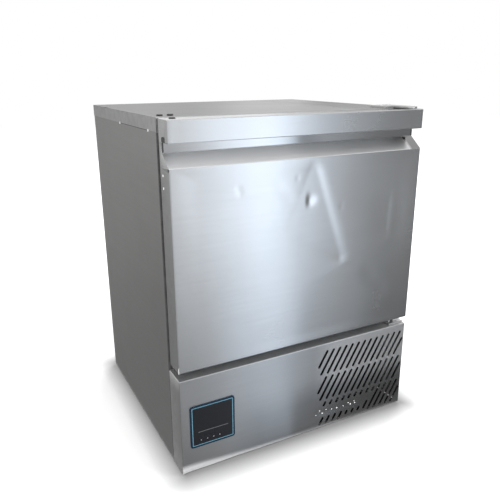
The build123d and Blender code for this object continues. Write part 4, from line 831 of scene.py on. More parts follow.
def camera():
    """The photograph's viewpoint."""
    data = bpy.data.cameras.new("camera")
    data.lens = LENS
    data.sensor_width = 36.0
    data.clip_start = 0.05
    made = bpy.data.objects.new("camera", data)
    bpy.context.collection.objects.link(made)
    back = Vector((sin(CAMERA_TURN) * cos(CAMERA_DIP), -cos(CAMERA_TURN) * cos(CAMERA_DIP), sin(CAMERA_DIP)))
    right = Vector((cos(CAMERA_TURN), sin(CAMERA_TURN), 0.0))
    up = back.cross(right)
    rolled_right = right * cos(CAMERA_ROLL) + up * sin(CAMERA_ROLL)
    rolled_up = up * cos(CAMERA_ROLL) - right * sin(CAMERA_ROLL)
    turn = Matrix((rolled_right, rolled_up, back)).transposed()
    made.matrix_world = Matrix.Translation(CAMERA_PLACE) @ turn.to_4x4()
    bpy.context.scene.camera = made


def shown_rays(tree):
    """1 for rays that show the background, 0 for rays that carry its light."""
    path = put(tree, "ShaderNodeLightPath").outputs
    seen = sums("MAXIMUM", path["Is Camera Ray"], path["Is Glossy Ray"])
    return sums("MAXIMUM", seen, path["Is Transmission Ray"])


def world(ambient):
    made = bpy.data.worlds.new("studio")
    bpy.context.scene.world = made
    made.use_nodes = True
    tree = made.node_tree
    tree.nodes.clear()
    strength = spread(shown_rays(tree), 0.0, 1.0, ambient, 1.0)
    light = put(tree, "ShaderNodeBackground", {"Color": (1.0, 1.0, 1.0, 1.0), "Strength": strength})
    put(tree, "ShaderNodeOutputWorld", {"Surface": light.outputs[0]})


SHADOW_UNDER = ((-298.0, 314.0), (-275.0, 289.0))   # painted shadow on the ground under the cabinet, across and back
FLOOR_TONE, CONTACT_SHADOW_TONE, UNDER_SHADOW_TONE = grey(0.93), grey(0.36), grey(0.03)


def floor(near_lift, far_lift):
    """A pale floor that keeps the object's shadow and fades to white away from it, with a painted contact
    shadow along the cabinet and a painted dark shadow under it.
    """
    bm = bmesh.new()
    wall(bm, "z", 0, (-9000, -9000), (9000, 9000))
    made = object_from("floor", bm)
    pale, shader, place = material("pale_floor", Base_Color=FLOOR_TONE, Roughness=0.9, Specular_Ior_Level=0.0,
                                   Emission_Color=grey(1.0))
    spot = axes(place)
    away = reach_of(*(sums("MAXIMUM", less(off(spot[axis], drift * MM), reach * MM), 0.0)
                      for axis, reach, drift in ((0, HALF, 8.0), (1, -FRONT, -2.0))))
    # Less lift near the cabinet: painted shadow along it.
    near = spread(away, 0.0, 0.09, 0.0, near_lift)
    lift = sums("ADD", near, spread(away, 0.05, 1.6, 0.0, far_lift - near_lift))
    # Mask of the ground under the cabinet, painted near black as shadow.
    inside = 1.0
    for axis, (low, high) in enumerate(SHADOW_UNDER):
        for margin in (less(spot[axis], low * MM), less(high * MM, spot[axis])):
            inside = sums("MINIMUM", margin, inside)
    # Painted contact shadow along the cabinet's edges.
    ground = blended(spread(away, 0.0, 0.06), CONTACT_SHADOW_TONE, FLOOR_TONE)
    feed(shader, Base_Color=blended(spread(inside, 0.0, 0.003), ground, UNDER_SHADOW_TONE),
         Emission_Strength=times(shown_rays(shader.id_data), lift))
    made.data.materials.append(pale)


COVE_RADIUS = 6.0
COVE_HEIGHT = 3.4
COVE_STEPS = 48
MIRRORED_VIEW = (-0.658, 0.694)      # where the camera appears in the door, seen from above
COVE_STRENGTH = 2.6
COVE_START, COVE_END = 16.0, 50.0    # span of the front's tones, in degrees about that point
FRONT_TONES = ((16.0, 0.66, 1.0), (20.0, 0.79, 1.0), (24.0, 1.08, 2.0), (27.0, 1.62, 4.0), (30.0, 2.05, 5.0),
               (32.2, 2.02, 5.0), (33.1, 0.84, 3.0), (35.2, 0.70, 2.0), (36.9, 0.76, 3.0), (38.6, 0.52, 1.0),
               (41.0, 0.35, 0.5), (44.0, 0.28, 0.5), (50.0, 0.31, 0.5))   # degrees, brightness, blueness
SIDE_TONES = ((-2.7, 0.58), (-1.5, 0.30), (-0.4, 0.32), (0.95, 0.34), (1.5, 0.45), (2.1, 0.40), (2.45, 0.54),
              (2.75, 0.80), (3.3, 0.80), (3.6, 0.54), (4.2, 0.56))   # metres across, brightness


def stops(value, colours):
    """A colour ramp; each stop is a position and three channels."""
    ramp = put(tree_of(value), "ShaderNodeValToRGB", {0: value})
    while len(ramp.color_ramp.elements) < len(colours):
        ramp.color_ramp.elements.new(1.0)
    for stop, (position, *channels) in zip(ramp.color_ramp.elements, colours):
        stop.position = position
        stop.color = (*channels, 1.0)
    return ramp.outputs[0]


def cove_tone(place):
    """Brightness of what the steel mirrors: a bright window in front, duller walls beside it."""
    x, y = list(axes(place))[:2]
    turn = sums("ARCTAN2", less(x, MIRRORED_VIEW[0]), less(MIRRORED_VIEW[1], y))
    turn = times(turn, 180.0 / pi)
    ramp = stops(spread(turn, COVE_START, COVE_END), [
        ((degrees - COVE_START) / (COVE_END - COVE_START), level / COVE_STRENGTH * (1.0 - 0.022 * blue),
         level / COVE_STRENGTH, min(1.0, level / COVE_STRENGTH * (1.0 + 0.028 * blue)))
        for degrees, level, blue in FRONT_TONES])
    ahead = times(y, -1.0)
    nearness = spread(ahead, 0.1, 2.4, 0.25, 1.13)
    beyond = times(spread(ahead, 2.3, 4.6), spread(turn, 30.5, 34.0))
    front = scaled(ramp, times(nearness, spread(beyond, 0.0, 1.0, 1.0, 0.64)))
    first, last = SIDE_TONES[0][0], SIDE_TONES[-1][0]
    side = stops(spread(x, first, last), [((across - first) / (last - first), *(level / COVE_STRENGTH,) * 3)
                                          for across, level in SIDE_TONES])
    side = blended(spread(y, 0.3, 1.8, 0.72, 1.0), grey(0.0), side)
    return blended(spread(ahead, 0.24, 0.42), side, front)


def cove():
    """A studio cove that only shows in reflections, as flags and mats do; it spares the footprint."""
    bm = bmesh.new()
    turns = [2 * pi * n / COVE_STEPS for n in range(COVE_STEPS)]
    hole = [min(HALF / max(abs(cos(turn)), 0.001), -FRONT / max(abs(sin(turn)), 0.001)) for turn in turns]
    lift = 1.5
    outlines = [(hole, lift)] + [([radius / MM] * COVE_STEPS, height) for radius, height in (
        (0.8, lift), (2.5, lift), (COVE_RADIUS, lift), (COVE_RADIUS, COVE_HEIGHT / MM))]
    rings = [[bm.verts.new((reach * cos(turn), reach * sin(turn), height))
              for reach, turn in zip(outline, turns)] for outline, height in outlines]
    for low, high in zip(rings, rings[1:]):
        band(bm, low, high, closed=True)
    made = object_from("cove", bm)
    shade, shader, place = material("cove", Base_Color=grey(0.0), Roughness=1.0, Specular_Ior_Level=0.0,
                                    Emission_Strength=COVE_STRENGTH)
    feed(shader, Emission_Color=cove_tone(place))
    made.data.materials.append(shade)
    made.visible_camera = made.visible_diffuse = made.visible_shadow = made.visible_transmission = False


SUBJECT = Vector((0.0, 0.0, 0.4))   # what the lamps are turned to


def softbox(name, place, width, height, power):
    data = bpy.data.lights.new(name, "AREA")
    data.shape = "RECTANGLE"
    data.size = width
    data.size_y = height
    data.energy = power
    made = bpy.data.objects.new(name, data)
    bpy.context.collection.objects.link(made)
    made.visible_glossy = False
    made.location = place
    made.rotation_euler = (SUBJECT - Vector(place)).to_track_quat("-Z", "Y").to_euler()


def studio():
    world(0.62)
    floor(0.26, 0.60)
    cove()
    softbox("key_softbox", (-1.6, -3.4, 3.0), 3.0, 2.4, 120.0)
    softbox("fill_softbox", (2.6, -2.4, 1.8), 1.6, 2.0, 45.0)
    softbox("back_softbox", (2.4, 2.6, 3.2), 3.0, 2.4, 90.0)


bpy.context.scene.view_settings.view_transform = "Standard"
camera()
studio()


# Worktop


def worktop():
    """Top sheet with folded lips, its spot welds, and a dark strip at the seam beside the left lip that
    paints the shadow there.
    """
    low, high = corners("worktop")
    front_lip = 9.0
    bm = bmesh.new()
    wall(bm, "z", TOP, (low.x, low.y), (high.x, high.y))
    wall(bm, "y", low.y, (low.x, TOP), (high.x, TOP - front_lip))
    wall(bm, "y", high.y, (low.x, TOP), (high.x, low.z))
    for x in (low.x, high.x):
        wall(bm, "x", x, (low.y + SHEET, TOP), (high.y, low.z))
    weld(bm)
    cut_grid(bm, "x", 47)
    cut_grid(bm, "y", 39)
    for vert in bm.verts:
        edge = min(vert.co.x - low.x, high.x - vert.co.x, vert.co.y - low.y, high.y - vert.co.y)
        if vert.co.z > TOP - 0.5 and edge > 8.0:
            vert.co.z -= wave(vert.co, 110.0, 0.9, 3.0) * min(1.0, edge / 50.0)
    piece = sheet_piece("worktop_sheet", bm, STEEL_TOP, "worktop")
    # The top is painted darker towards its right end, as painted shade.
    paint_wear_and_light(piece, lambda x, y, z: -0.4 * held((x - 150.0) / 100.0))
    # Dark strip at the seam under the left lip: painted shadow.
    seam = blocks(((low.x + 0.1, -175.0, low.z - 1.2), (low.x + 1.0, 27.0, low.z + 0.1)))
    solid_piece("worktop_seam", seam, SEAL, beside="compressor_grommets", edge=0.2, segments=1)
    # Spot welds coloured near white as painted glints.
    bm = bmesh.new()
    spot = [(0.0, 0.6), (2.9, 0.6), (2.9, -0.1), (2.2, -0.5), (0.0, -0.7)]
    for y in (-178.0, 30.0):
        lathe(bm, spot, (low.x, y, low.z - 0.6), "x", 16)
    solid_piece("worktop_welds", bm, GLINT_SPOT, beside="worktop", edge=0.0)


# Door


DENT = (2.0, 596.0)
CREASE = ((6.0, 692.0), (96.0, 434.0))
# Start, end, depth, width at either side and the share that fades at the ends
BENDS = (((228.0, 604.0), (222.0, 470.0), 0.32, 9.0, 50.0, 0.3),
         ((-171.5, 645.0), (-161.0, 619.0), 0.3, 8.0, 4.5, 0.2),
         ((-92.0, 648.0), (-30.0, 590.0), 0.15, 14.0, 14.0, 0.3),
         ((150.0, 420.0), (250.0, 330.0), 0.45, 18.0, 18.0, 0.3))
KNOCKS = ((-27.2, 647.2, 0.15), (89.7, 572.6, 0.15))   # across, up, depth
DENT_MARGIN = 30.0


def across_line(x, z, start, end):
    """Distance from a line, signed, and the share of the way along it."""
    dx, dz = end[0] - start[0], end[1] - start[1]
    length = sqrt(dx * dx + dz * dz)
    along = ((x - start[0]) * dx + (z - start[1]) * dz) / length
    side = ((x - start[0]) * dz - (z - start[1]) * dx) / length
    return side, along / length


def door_dents(x, z):
    """How far the door's front is pushed in at a place, in millimetres."""
    depth = wave((x, 0.0, z), 170.0, 0.9, 11.0)
    across = x - DENT[0]
    depth += 1.3 * bell(z - DENT[1], 11.0) * bell(across, 3.5 if across < 0.0 else 14.0)
    side, share = across_line(x, z, *CREASE)
    slow = 0.45 * held(side / 110.0)
    fade = held(min(share / (0.05 + slow), (1.0 - share) / (0.07 + slow)))
    depth += (0.6 + 0.5 * share) * fade * bell(side, 14.0 + 4.0 * share if side < 0.0 else 110.0)
    for start, end, push, left, right, ends in BENDS:
        side, share = across_line(x, z, start, end)
        depth += push * fading(share, ends) * bell(side, left if side < 0.0 else right)
    for knock_x, knock_z, push in KNOCKS:
        depth += push * bell(x - knock_x, 4.0) * bell(z - knock_z, 6.0)
    return depth


def door_skin():
    """Front pan of the door: flat front with its dents, slope and neck, and the flanges at both sides."""
    neck_half = HALF - 0.3
    bm = bmesh.new()
    wall(bm, "y", FRONT, (-HALF, DOOR_LOW), (HALF, FLAT_HIGH))
    wall(bm, "z", DOOR_LOW, (-HALF, FRONT), (HALF, DOOR_BACK))
    patch(bm, ((-HALF, FRONT, FLAT_HIGH), (HALF, FRONT, FLAT_HIGH), (neck_half, NECK_Y, NECK_LOW),
               (-neck_half, NECK_Y, NECK_LOW)))
    wall(bm, "y", NECK_Y, (-neck_half, NECK_LOW), (neck_half, NOSING_LOW + GRIP_RISE - 0.6))
    weld(bm)
    cut_grid(bm, "x", 155)
    front_edges = [edge for edge in bm.edges
                   if all(abs(vert.co.y - FRONT) < 0.01 for vert in edge.verts)
                   and abs(edge.verts[0].co.z - edge.verts[1].co.z) > 1.0]
    bmesh.ops.subdivide_edges(bm, edges=front_edges, cuts=107, use_grid_fill=True)
    for side in (-1, 1):
        front, back = returned(bm, side * HALF, FRONT, side * HALF, DOOR_BACK)
        shoulder = [bm.verts.new((side * HALF, y, z)) for y, z in
                    ((NECK_Y, NECK_LOW), (NECK_Y, NOSING_LOW), (DOOR_BACK, NOSING_LOW))]
        bm.faces.new([front[-1]] + shoulder + [back[-1]])
    weld(bm)
    for vert in bm.verts:
        inside = min((HALF - abs(vert.co.x)) / 2, vert.co.z - DOOR_LOW, FLAT_HIGH - vert.co.z)
        if abs(vert.co.y - FRONT) < 0.01 and inside > 1.5:
            fade = min(1.0, inside / DENT_MARGIN)
            vert.co.y += door_dents(vert.co.x, vert.co.z) * fade * fade * (3.0 - 2.0 * fade)
    piece = folded("door_front_pan", bm)
    for side in (-1, 1):
        notch = blocks(((side * HALF - 1.6, FRONT + 0.6, FLAT_HIGH - 6.0),
                        (side * HALF + 1.6, FRONT + 5.0, FLAT_HIGH - 1.0)))
        run_tree(piece, PIERCED_SHEET, Copy=tool("relief_notch", notch), Material=STEEL_DOOR)
    paint_wear_and_light(settle(even_shading(worked_in(piece)), STEEL_DOOR, "door_skin"), door_wear_and_painted_light)


def door_wear_and_painted_light(x, y, z):
    """The slope is painted bright, for hand wear and as a painted highlight, most of all at its left end, and
    painted darker at its right end as painted shade; the neck above it is painted darker, as shade under the
    handle's lip and as a painted reflection, and so are the door's side flanges, as shade in the gap.
    """
    if FLAT_HIGH - 0.6 < z < NECK_LOW + 0.4 and y < NECK_Y + 1.2:
        return 0.40 - 0.15 * held((x + 45.0) / 45.0) - 0.12 * held(x / 150.0) - 0.9 * held((x - 281.0) / 7.0)
    if z >= NECK_LOW + 0.4 and y < NECK_Y + 1.0:
        left, right = 0.3 * held((-185.0 - x) / 125.0), 0.1 * held((x + 60.0) / 60.0)
        return -0.2 - left - right - 0.3 * bell(x + 5.0, 52.0)
    return -0.2 if abs(x) > HALF - 0.6 and y > FRONT + 2.4 else 0.0


def corner_curl():
    """Edge of the skin that has curled up beside the door's lower left corner."""
    points = [(-311.1, 257.8), (-311.2, 264.0), (-311.0, 270.0), (-309.8, 273.6), (-308.0, 273.4),
              (-306.9, 270.0), (-306.7, 264.0), (-306.9, 259.0)]
    # The curled edge is coloured near white as a painted glint.
    piece = rods("door_corner_curl", [[(x, FRONT + 0.75, z) for x, z in points]], 0.7, GLINT_SPOT, 6)
    settle(piece, GLINT_SPOT, beside="door_skin")


def handle_nosing():
    """Full-width grab handle along the top of the door, with its end plates."""
    lip_back, lip_high = FRONT + NOSING_DEPTH, NOSING_LOW + GRIP_RISE
    bm = bmesh.new()
    strip(bm, [(NECK_Y, lip_high), (lip_back, lip_high), (lip_back, NOSING_LOW), (FRONT, NOSING_LOW),
               (FRONT, DOOR_HIGH), (DOOR_BACK, DOOR_HIGH)], "x", -HALF, HALF)
    weld(bm)
    cut_grid(bm, "x", 77)
    for side in (-1, 1):
        patch(bm, [(side * HALF, y, z) for y, z in (
            (FRONT, NOSING_LOW), (lip_back, NOSING_LOW), (lip_back, lip_high), (NECK_Y, lip_high),
            (NECK_Y, NOSING_LOW), (DOOR_BACK, NOSING_LOW), (DOOR_BACK, DOOR_HIGH), (FRONT, DOOR_HIGH))])
    weld(bm)
    for vert in bm.verts:
        middle = 1.0 - abs(vert.co.z - (NOSING_LOW + DOOR_HIGH) / 2) / ((DOOR_HIGH - NOSING_LOW) / 2)
        if abs(vert.co.y - FRONT) < 0.01 and middle < 0.01:
            fade = min(1.0, (HALF - abs(vert.co.x)) / 20.0)
            vert.co.y += wave((vert.co.x, 0.0, 0.0), 120.0, 0.35, 5.0) * fade
    paint_wear_and_light(sheet_piece("handle_nosing_sheet", bm, STEEL_DOOR, "handle_nosing"), nosing_wear_and_painted_light)


def nosing_wear_and_painted_light(x, y, z):
    """The lip below the handle is painted bright, for hand wear and as a painted highlight; the left of its
    top is painted bright and it is painted darker towards the right, as painted reflection.
    """
    if z > DOOR_HIGH - 0.6 and y > FRONT + 1.5:
        return 0.5 * held((-40.0 - x) / 60.0) - 0.8 * held((x - 60.0) / 160.0)
    return 0.3 if z < NOSING_LOW + GRIP_RISE + 1.0 and y > FRONT + 1.5 and abs(x) < HALF - 3.0 else 0.0


def handle_shadow_blocks():
    """Black blocks in the hollow behind the handle and in the neck's slit below it: painted shade of these
    recesses.
    """
    for side, name in ((-1, "handle_end_left"), (1, "handle_end_right")):
        hollow = ((side * 311.2, FRONT + NOSING_DEPTH + 0.5, NOSING_LOW + 0.2),
                  (side * 292.0, NECK_Y - 0.5, 743.7))
        neck = ((side * 311.8, NECK_Y - 0.7, NECK_LOW + 1.2), (side * 308.6, NECK_Y + 0.5, NOSING_LOW - 0.3))
        solid_piece(name, blocks(hollow, neck), BLACK, beside="door_plug", edge=0.25)


def door_rivets():
    """Domed rivets in the door's side flanges."""
    bm = bmesh.new()
    low, high = corners("door_rivets")
    rivet_y, rivet_radius = -256.0, 2.4
    dome = [(0.0, -1.4), (1.5, -1.4), (1.5, -0.3), (2.5, -0.1), (2.5, 0.15), (2.0, 0.5), (1.1, 0.72),
            (0.0, 0.78)]
    for side in (-1, 1):
        for z in (low.z + rivet_radius, high.z - rivet_radius):
            lathe(bm, [(radius, side * along) for radius, along in dome], (side * HALF, rivet_y, z), "x", 16)
    # Rivet heads coloured near white as painted glints.
    solid_piece("door_rivets_domed", bm, GLINT_SPOT, "door_rivets", edge=0.0)


def door_foam():
    """Insulation, drawn back behind the dents of the front."""
    outline = [(FRONT + 6, DOOR_LOW + 2), (FRONT + 6, FLAT_HIGH - 4), (NECK_Y + 3, NECK_LOW + 2),
               (NECK_Y + 3, NOSING_LOW + GRIP_RISE + 2), (FRONT + 4, NOSING_LOW + GRIP_RISE + 3),
               (FRONT + 4, DOOR_HIGH - 3), (DOOR_BACK - 2.5, DOOR_HIGH - 3), (DOOR_BACK - 2.5, DOOR_LOW + 2)]
    bm = bmesh.new()
    prism(bm, outline, "x", 3 - HALF, HALF - 3)
    solid_piece("door_insulation", bm, FOAM, "door_foam", edge=1.0)


# Side panels


KNOCK_IN_SIDE = ((120.0, 36.0), (185.0, 62.0))   # a crease low on the left side: start and end, back and up


def side_panel(side, node):
    """Outer sheet of one side with a folded front edge and a slight unevenness."""
    low, high = corners(node)
    x = side * max(abs(low.x), abs(high.x))
    bm = bmesh.new()
    wall(bm, "x", x, (low.y, low.z), (high.y, high.z))
    weld(bm)
    cut_grid(bm, "y", 41)
    cut_grid(bm, "z", 61)
    returned(bm, x, low.y, x - side * 10.0, low.y)
    for vert in bm.verts:
        inside = min(vert.co.y - low.y, high.y - vert.co.y, high.z - vert.co.z, vert.co.z - low.z)
        if inside > 3.0:
            shift = 1.3 * noise.noise(Vector((0.0, vert.co.y / 60.0, 2.0)))
            bands = 0.3 + 0.3 * sin(vert.co.y / 21.0 + shift)
            push = bands * 0.35 + wave(vert.co, 150.0, 0.55, 20.0 + side)
            vert.co.x -= side * push * min(1.0, inside / 40.0)
        if side < 0:
            crease, share = across_line(vert.co.y, vert.co.z, *KNOCK_IN_SIDE)
            vert.co.x += 1.1 * bell(crease, 7.0) * fading(share, 0.3)
    sheet_piece(f"{node}_sheet", bm, STEEL_SIDE, node)


def gap_shadow_strips():
    """Dark strips on the cabinet's front edges, seen in the gap beside the door: painted shade of the gap."""
    high = DOOR_HIGH - 28.0
    for side, name in ((-1, "gap_tape_left"), (1, "gap_tape_right")):
        shadow_strips = blocks(((side * 304.0, CARCASS - 0.9, 240.0), (side * 311.5, CARCASS - 0.1, high)),
                       ((side * 311.1, CARCASS - 0.2, 14.0), (side * 311.5, CARCASS + 4.5, high)))
        solid_piece(name, shadow_strips, SEAL, beside="compressor_grommets", edge=0.2, segments=1)


# Lower panel


SLOT_WIDTH = 7.0
SLOT_SLOPE = radians(60.0)
SLOT_PITCH = 19.1
SLOT_RISE = 58.7
SLOT_ROW_PITCH = 71.0
SLOT_COUNT = 14
SHORT_RISE = 38.0
SLOT_TOP_MARGIN = 22.0
SLOT_RIGHT_MARGIN = 14.0


def slot_cutter(rise):
    """A slanted round-ended cutter; its lower end's centre lies at the origin."""
    length = sqrt(rise ** 2 + (rise / tan(SLOT_SLOPE)) ** 2)
    radius = SLOT_WIDTH / 2
    outline = arc(length, 0.0, radius, -90, 90, 6) + arc(0.0, 0.0, radius, 90, 270, 6)
    bm = bmesh.new()
    prism(bm, [(u * cos(SLOT_SLOPE) - v * sin(SLOT_SLOPE), u * sin(SLOT_SLOPE) + v * cos(SLOT_SLOPE))
               for u, v in outline], "y", -6.0, 6.0)
    return tool("slot", bm)


STRIP_TOP = ((-312.6, 24.5), (-288.3, 23.5), (-243.5, 20.5), (-191.9, 17.0), (-146.5, 15.0), (100.0, 11.5),
             (313.0, 7.0))   # across, height of the panel's turned-in lower strip
BURRS = ((43.0, 43.9), (53.7, 53.1), (62.3, 43.2), (73.5, 51.0), (91.5, 46.8), (107.4, 45.7), (127.1, 45.1),
         (143.0, 49.9), (149.8, 43.7), (161.6, 49.6), (163.9, 43.5))   # across, up


def strip_top(x):
    for (x0, z0), (x1, z1) in zip(STRIP_TOP, STRIP_TOP[1:]):
        if x <= x1:
            break
    return z0 + (z1 - z0) * held((x - x0) / (x1 - x0))


def panel_push(x, z):
    """How far the panel's front is knocked in at a place, in millimetres."""
    low, high = PANEL_LOW, PANEL_HIGH
    push = 3.2 * held(1.0 - (z - low.z) / 13.0) * (0.6 + 0.4 * noise.noise(Vector((x / 70.0, 0.0, 4.0))))
    push = max(0.0, push) * held((high.x - abs(x)) / 12.0)
    push += wave((x, 0.0, z), 120.0, 0.7, 31.0) * held(min((high.x - abs(x)) / 30.0, (high.z - z) / 30.0))
    return push + 2.2 * bell(z - 47.0, 9.0) * held((x - 32.0) / 18.0) * held((188.0 - x) / 26.0)


def panel_painted_light(x, y, z):
    """The flanges and the strip along the lower edge are painted bright, as painted highlight and painted
    reflection; the right half is darker lower down.
    """
    if y > PANEL_LOW.y + 1.6 and z > PANEL_HIGH.z - 1.2:
        return 0.2
    if y > PANEL_LOW.y + 1.6 and abs(x) > PANEL_HIGH.x - 1.2:
        return 0.04 + 0.14 * held((80.0 - z) / 60.0) + 0.3 * held((z - 210.0) / 20.0)
    darkening = 0.24 * held((x + 200.0) / 80.0) * held((150.0 - z) / 60.0)
    darkening += 0.25 * held((x - 40.0) / 90.0) * held((120.0 - z) / 70.0)
    darkening -= 0.22 * held((x - 30.0) / 60.0) * held((z - 60.0) / 70.0)
    turned_in = held((strip_top(x) + 3.0 - z) / 9.0)
    return turned_in * (0.85 - 0.5 * held((x + 220.0) / 240.0)) - darkening * (1.0 - turned_in)


def panel_burrs():
    """Burrs where the strips between the lowest slots were knocked and torn, coloured near white as painted
    glints.
    """
    bm = bmesh.new()
    for n, (x, z) in enumerate(BURRS):
        radius = 1.7 + 0.7 * (n % 3) / 2
        dome = [(0.0, 0.9), (radius, 0.9), (radius, 0.1), (radius * 0.7, -0.5), (0.0, -0.8)]
        lathe(bm, dome, (x, PANEL_LOW.y + panel_push(x, z), z), "y", 8)
    solid_piece("panel_burrs", bm, GLINT_SPOT, beside="lower_panel", edge=0.0)


def lower_panel():
    """Removable pan in front of the machine bay, with slanted vent slots and knocks along its lower edge."""
    low, high = PANEL_LOW, PANEL_HIGH
    front = low.y
    bm = bmesh.new()
    strip(bm, [(high.y, high.z), (front, high.z), (front, low.z), (front + 18.0, low.z)], "x", low.x, high.x)
    weld(bm)
    cut_grid(bm, "x", 103)
    tall = [edge for edge in bm.edges if abs(edge.verts[0].co.z - edge.verts[1].co.z) > 100.0]
    bmesh.ops.subdivide_edges(bm, edges=tall, cuts=38, use_grid_fill=True)
    for x in (-high.x, high.x):
        returned(bm, x, front, x, high.y)
    piece = folded("lower_panel_sheet", bm)
    last = high.x - SLOT_RIGHT_MARGIN
    first_top = high.z - SLOT_TOP_MARGIN
    base = first_top - SLOT_RISE
    third = base - 2 * SLOT_ROW_PITCH
    spans = ((SLOT_RISE, 1, SLOT_COUNT - 2, base, 2), (SHORT_RISE, 0, 1, first_top - SHORT_RISE, 2),
             (SHORT_RISE, SLOT_COUNT - 1, 1, base, 2), (7.0, 0, 9, third + SLOT_RISE - 7.0, 1),
             (15.0, 1, 4, third, 1), (6.0, 5, 3, third + 6.7, 1), (16.0, 8, 1, third + 6.7, 1),
             (SLOT_RISE, 9, 4, third, 1), (SHORT_RISE, SLOT_COUNT - 1, 1, third, 1))
    for rise, first, count, z, rows in spans:   # z is the slot's lower end
        row_top = first_top if rows == 2 else third + SLOT_RISE
        x = last - (SLOT_COUNT - 2 - first) * SLOT_PITCH - (row_top - z) / tan(SLOT_SLOPE)
        run_tree(piece, PIERCED_SHEET, Copy=slot_cutter(rise), Start=metres(x, front, z), Count=count,
                 Pitch=metres(SLOT_PITCH, 0, 0), Rows=rows, Row_Pitch=metres(0, 0, -SLOT_ROW_PITCH),
                 Material=STEEL_PANEL)
    worked_in(piece)
    for vert in piece.data.vertices:
        x, y, z = vert.co / MM
        if y < front + 3.0:
            vert.co.y += panel_push(x, z) * MM
    paint_wear_and_light(settle(even_shading(piece), STEEL_PANEL, "lower_panel"), panel_painted_light)


# Inside the door


def door_ring(side, low, high, radius, y, steps=5):
    """An outline across the door, given by its insets from the door's sides, bottom and top."""
    outline = rounded_outline(side - HALF, HALF - side, DOOR_LOW + low, DOOR_HIGH - high, radius, steps)
    return [outline_point("y", u, v, y) for u, v in outline]


def door_liner():
    """Pressed inner sheet of the door with its raised field."""
    bm = bmesh.new()
    steps = [(1.0, 2.0, corners("door_liner")[0].y - DOOR_BACK), (1.0, 2.0, 0.0), (54.0, 10.0, 0.0),
             (58.0, 12.0, 0.7), (60.0, 13.0, 3.0), (61.0, 13.0, 6.0), (64.0, 12.0, 8.3), (70.0, 10.0, 9.0)]
    nest(bm, [door_ring(inset, inset, inset, radius, DOOR_BACK + rise) for inset, radius, rise in steps])
    solid_piece("door_inner_pan", bm, STEEL_LINER, "door_liner", edge=0.3, segments=1)


def door_gasket():
    """Magnetic seal: foot, folded bellows and the tube that holds the magnet."""
    section = ((0, -12), (0, -9.5), (2.5, -8.8), (1, -6.5), (3, -4.5), (1.2, -3.4), (1, -1), (2, -0.4),
               (16, -0.4), (17, -1), (16.8, -3.5), (15, -4.5), (17, -6.5), (15.5, -8.8), (18, -9.5),
               (18, -12))
    bm = bmesh.new()
    nest(bm, [door_ring(22.0 + inset, 12.0 + inset, 15.0 + inset, 1.5, CARCASS + y, 1)
              for inset, y in section], closed=True)
    solid_piece("door_seal_folds", bm, SEAL, "door_gasket", edge=0.0)


# Cabin


def front_frame():
    """Front posts and rails, a hair behind the folded edges of the side panels; painted dark in front of the
    bay, as the bay's shade.
    """
    bm = merged_copy("front_frame")
    for height in (BAY_HIGH - 1.0, BAY_HIGH):
        bmesh.ops.bisect_plane(bm, geom=bm.verts[:] + bm.edges[:] + bm.faces[:], plane_co=(0.0, 0.0, height),
                               plane_no=(0.0, 0.0, 1.0))
    for vert in bm.verts:
        if vert.co.y < CARCASS + 0.1:
            vert.co.y += 0.3
    piece = dressed("front_frame", STEEL_LINER, bm=bm)
    # Below the cabin the frame is painted dark: painted shade of the machine bay.
    paint_wear_and_light(piece, lambda x, y, z: -1.0 if z < BAY_HIGH - 0.5 else 0.0)


def pierced(name, node, finish, cutter, **places):
    """A packed sheet cut through by rows of copies of one cutter."""
    piece = object_from(name, merged_copy(node))
    run_tree(piece, PIERCED_SHEET, Copy=tool(f"{name}_cutter", cutter), Material=finish, **places)
    settle(smooth(worked_in(piece)), finish, node)


def rack_strips():
    """Slotted uprights that the shelf slides hook into."""
    low, high = corners("rack_strips")
    hook = blocks(((low.x - 4.0, -3.5, -1.8), (high.x + 4.0, 3.5, 1.8)))
    pierced("slotted_strips", "rack_strips", STEEL_LINER, hook, Start=metres(0, low.y + 10.0, low.z + 12.0),
            Count=2, Pitch=metres(0, high.y - low.y - 20.0, 0), Rows=17, Row_Pitch=metres(0, 0, 25.0))


def shelf(node):
    """Wire shelf: bent frame rod, middle bar and welded cross wires."""
    low, high = corners(node)
    rod, wire, gaps = 3.0, 1.5, 20
    half, y0, y1, z = high.x - rod, low.y + rod, high.y - rod, low.z + rod
    frame_line = [(x, y, z) for x, y in rounded_outline(-half, half, y0, y1, 12.0)]
    middle = [(-half, (y0 + y1) / 2, z), (half, (y0 + y1) / 2, z)]
    thick = rods(f"{node}_rods", [frame_line + frame_line[:1], middle], rod, CHROME, 10)
    thin = rods(f"{node}_wires", [[(-half + n * 2 * half / gaps, y, high.z - wire) for y in (y0, y1)]
                                  for n in range(1, gaps)], wire, CHROME)
    settle(joined(f"{node}_wirework", 50.0, thick, thin), CHROME, node)


def evaporator_fan_guard():
    """Rings and crossed spokes of wire in front of the fan."""
    low, high = corners("evaporator_fan_guard")
    wire, rings = 1.3, 4
    y, z, reach = (low.y + high.y) / 2, (low.z + high.z) / 2, high.x - wire
    lines = []
    for n in range(rings):
        lines.append([(u, y, z + v) for u, v in arc(0.0, 0.0, reach * (n + 1) / rings, 0, 360, 40)])
        across, up = reach * cos(pi * n / rings), reach * sin(pi * n / rings)
        lines.append([(sign * across, y - 0.2, z + sign * up) for sign in (-1, 1)])
    settle(rods("fan_guard_wires", lines, wire, CHROME), CHROME, "evaporator_fan_guard")


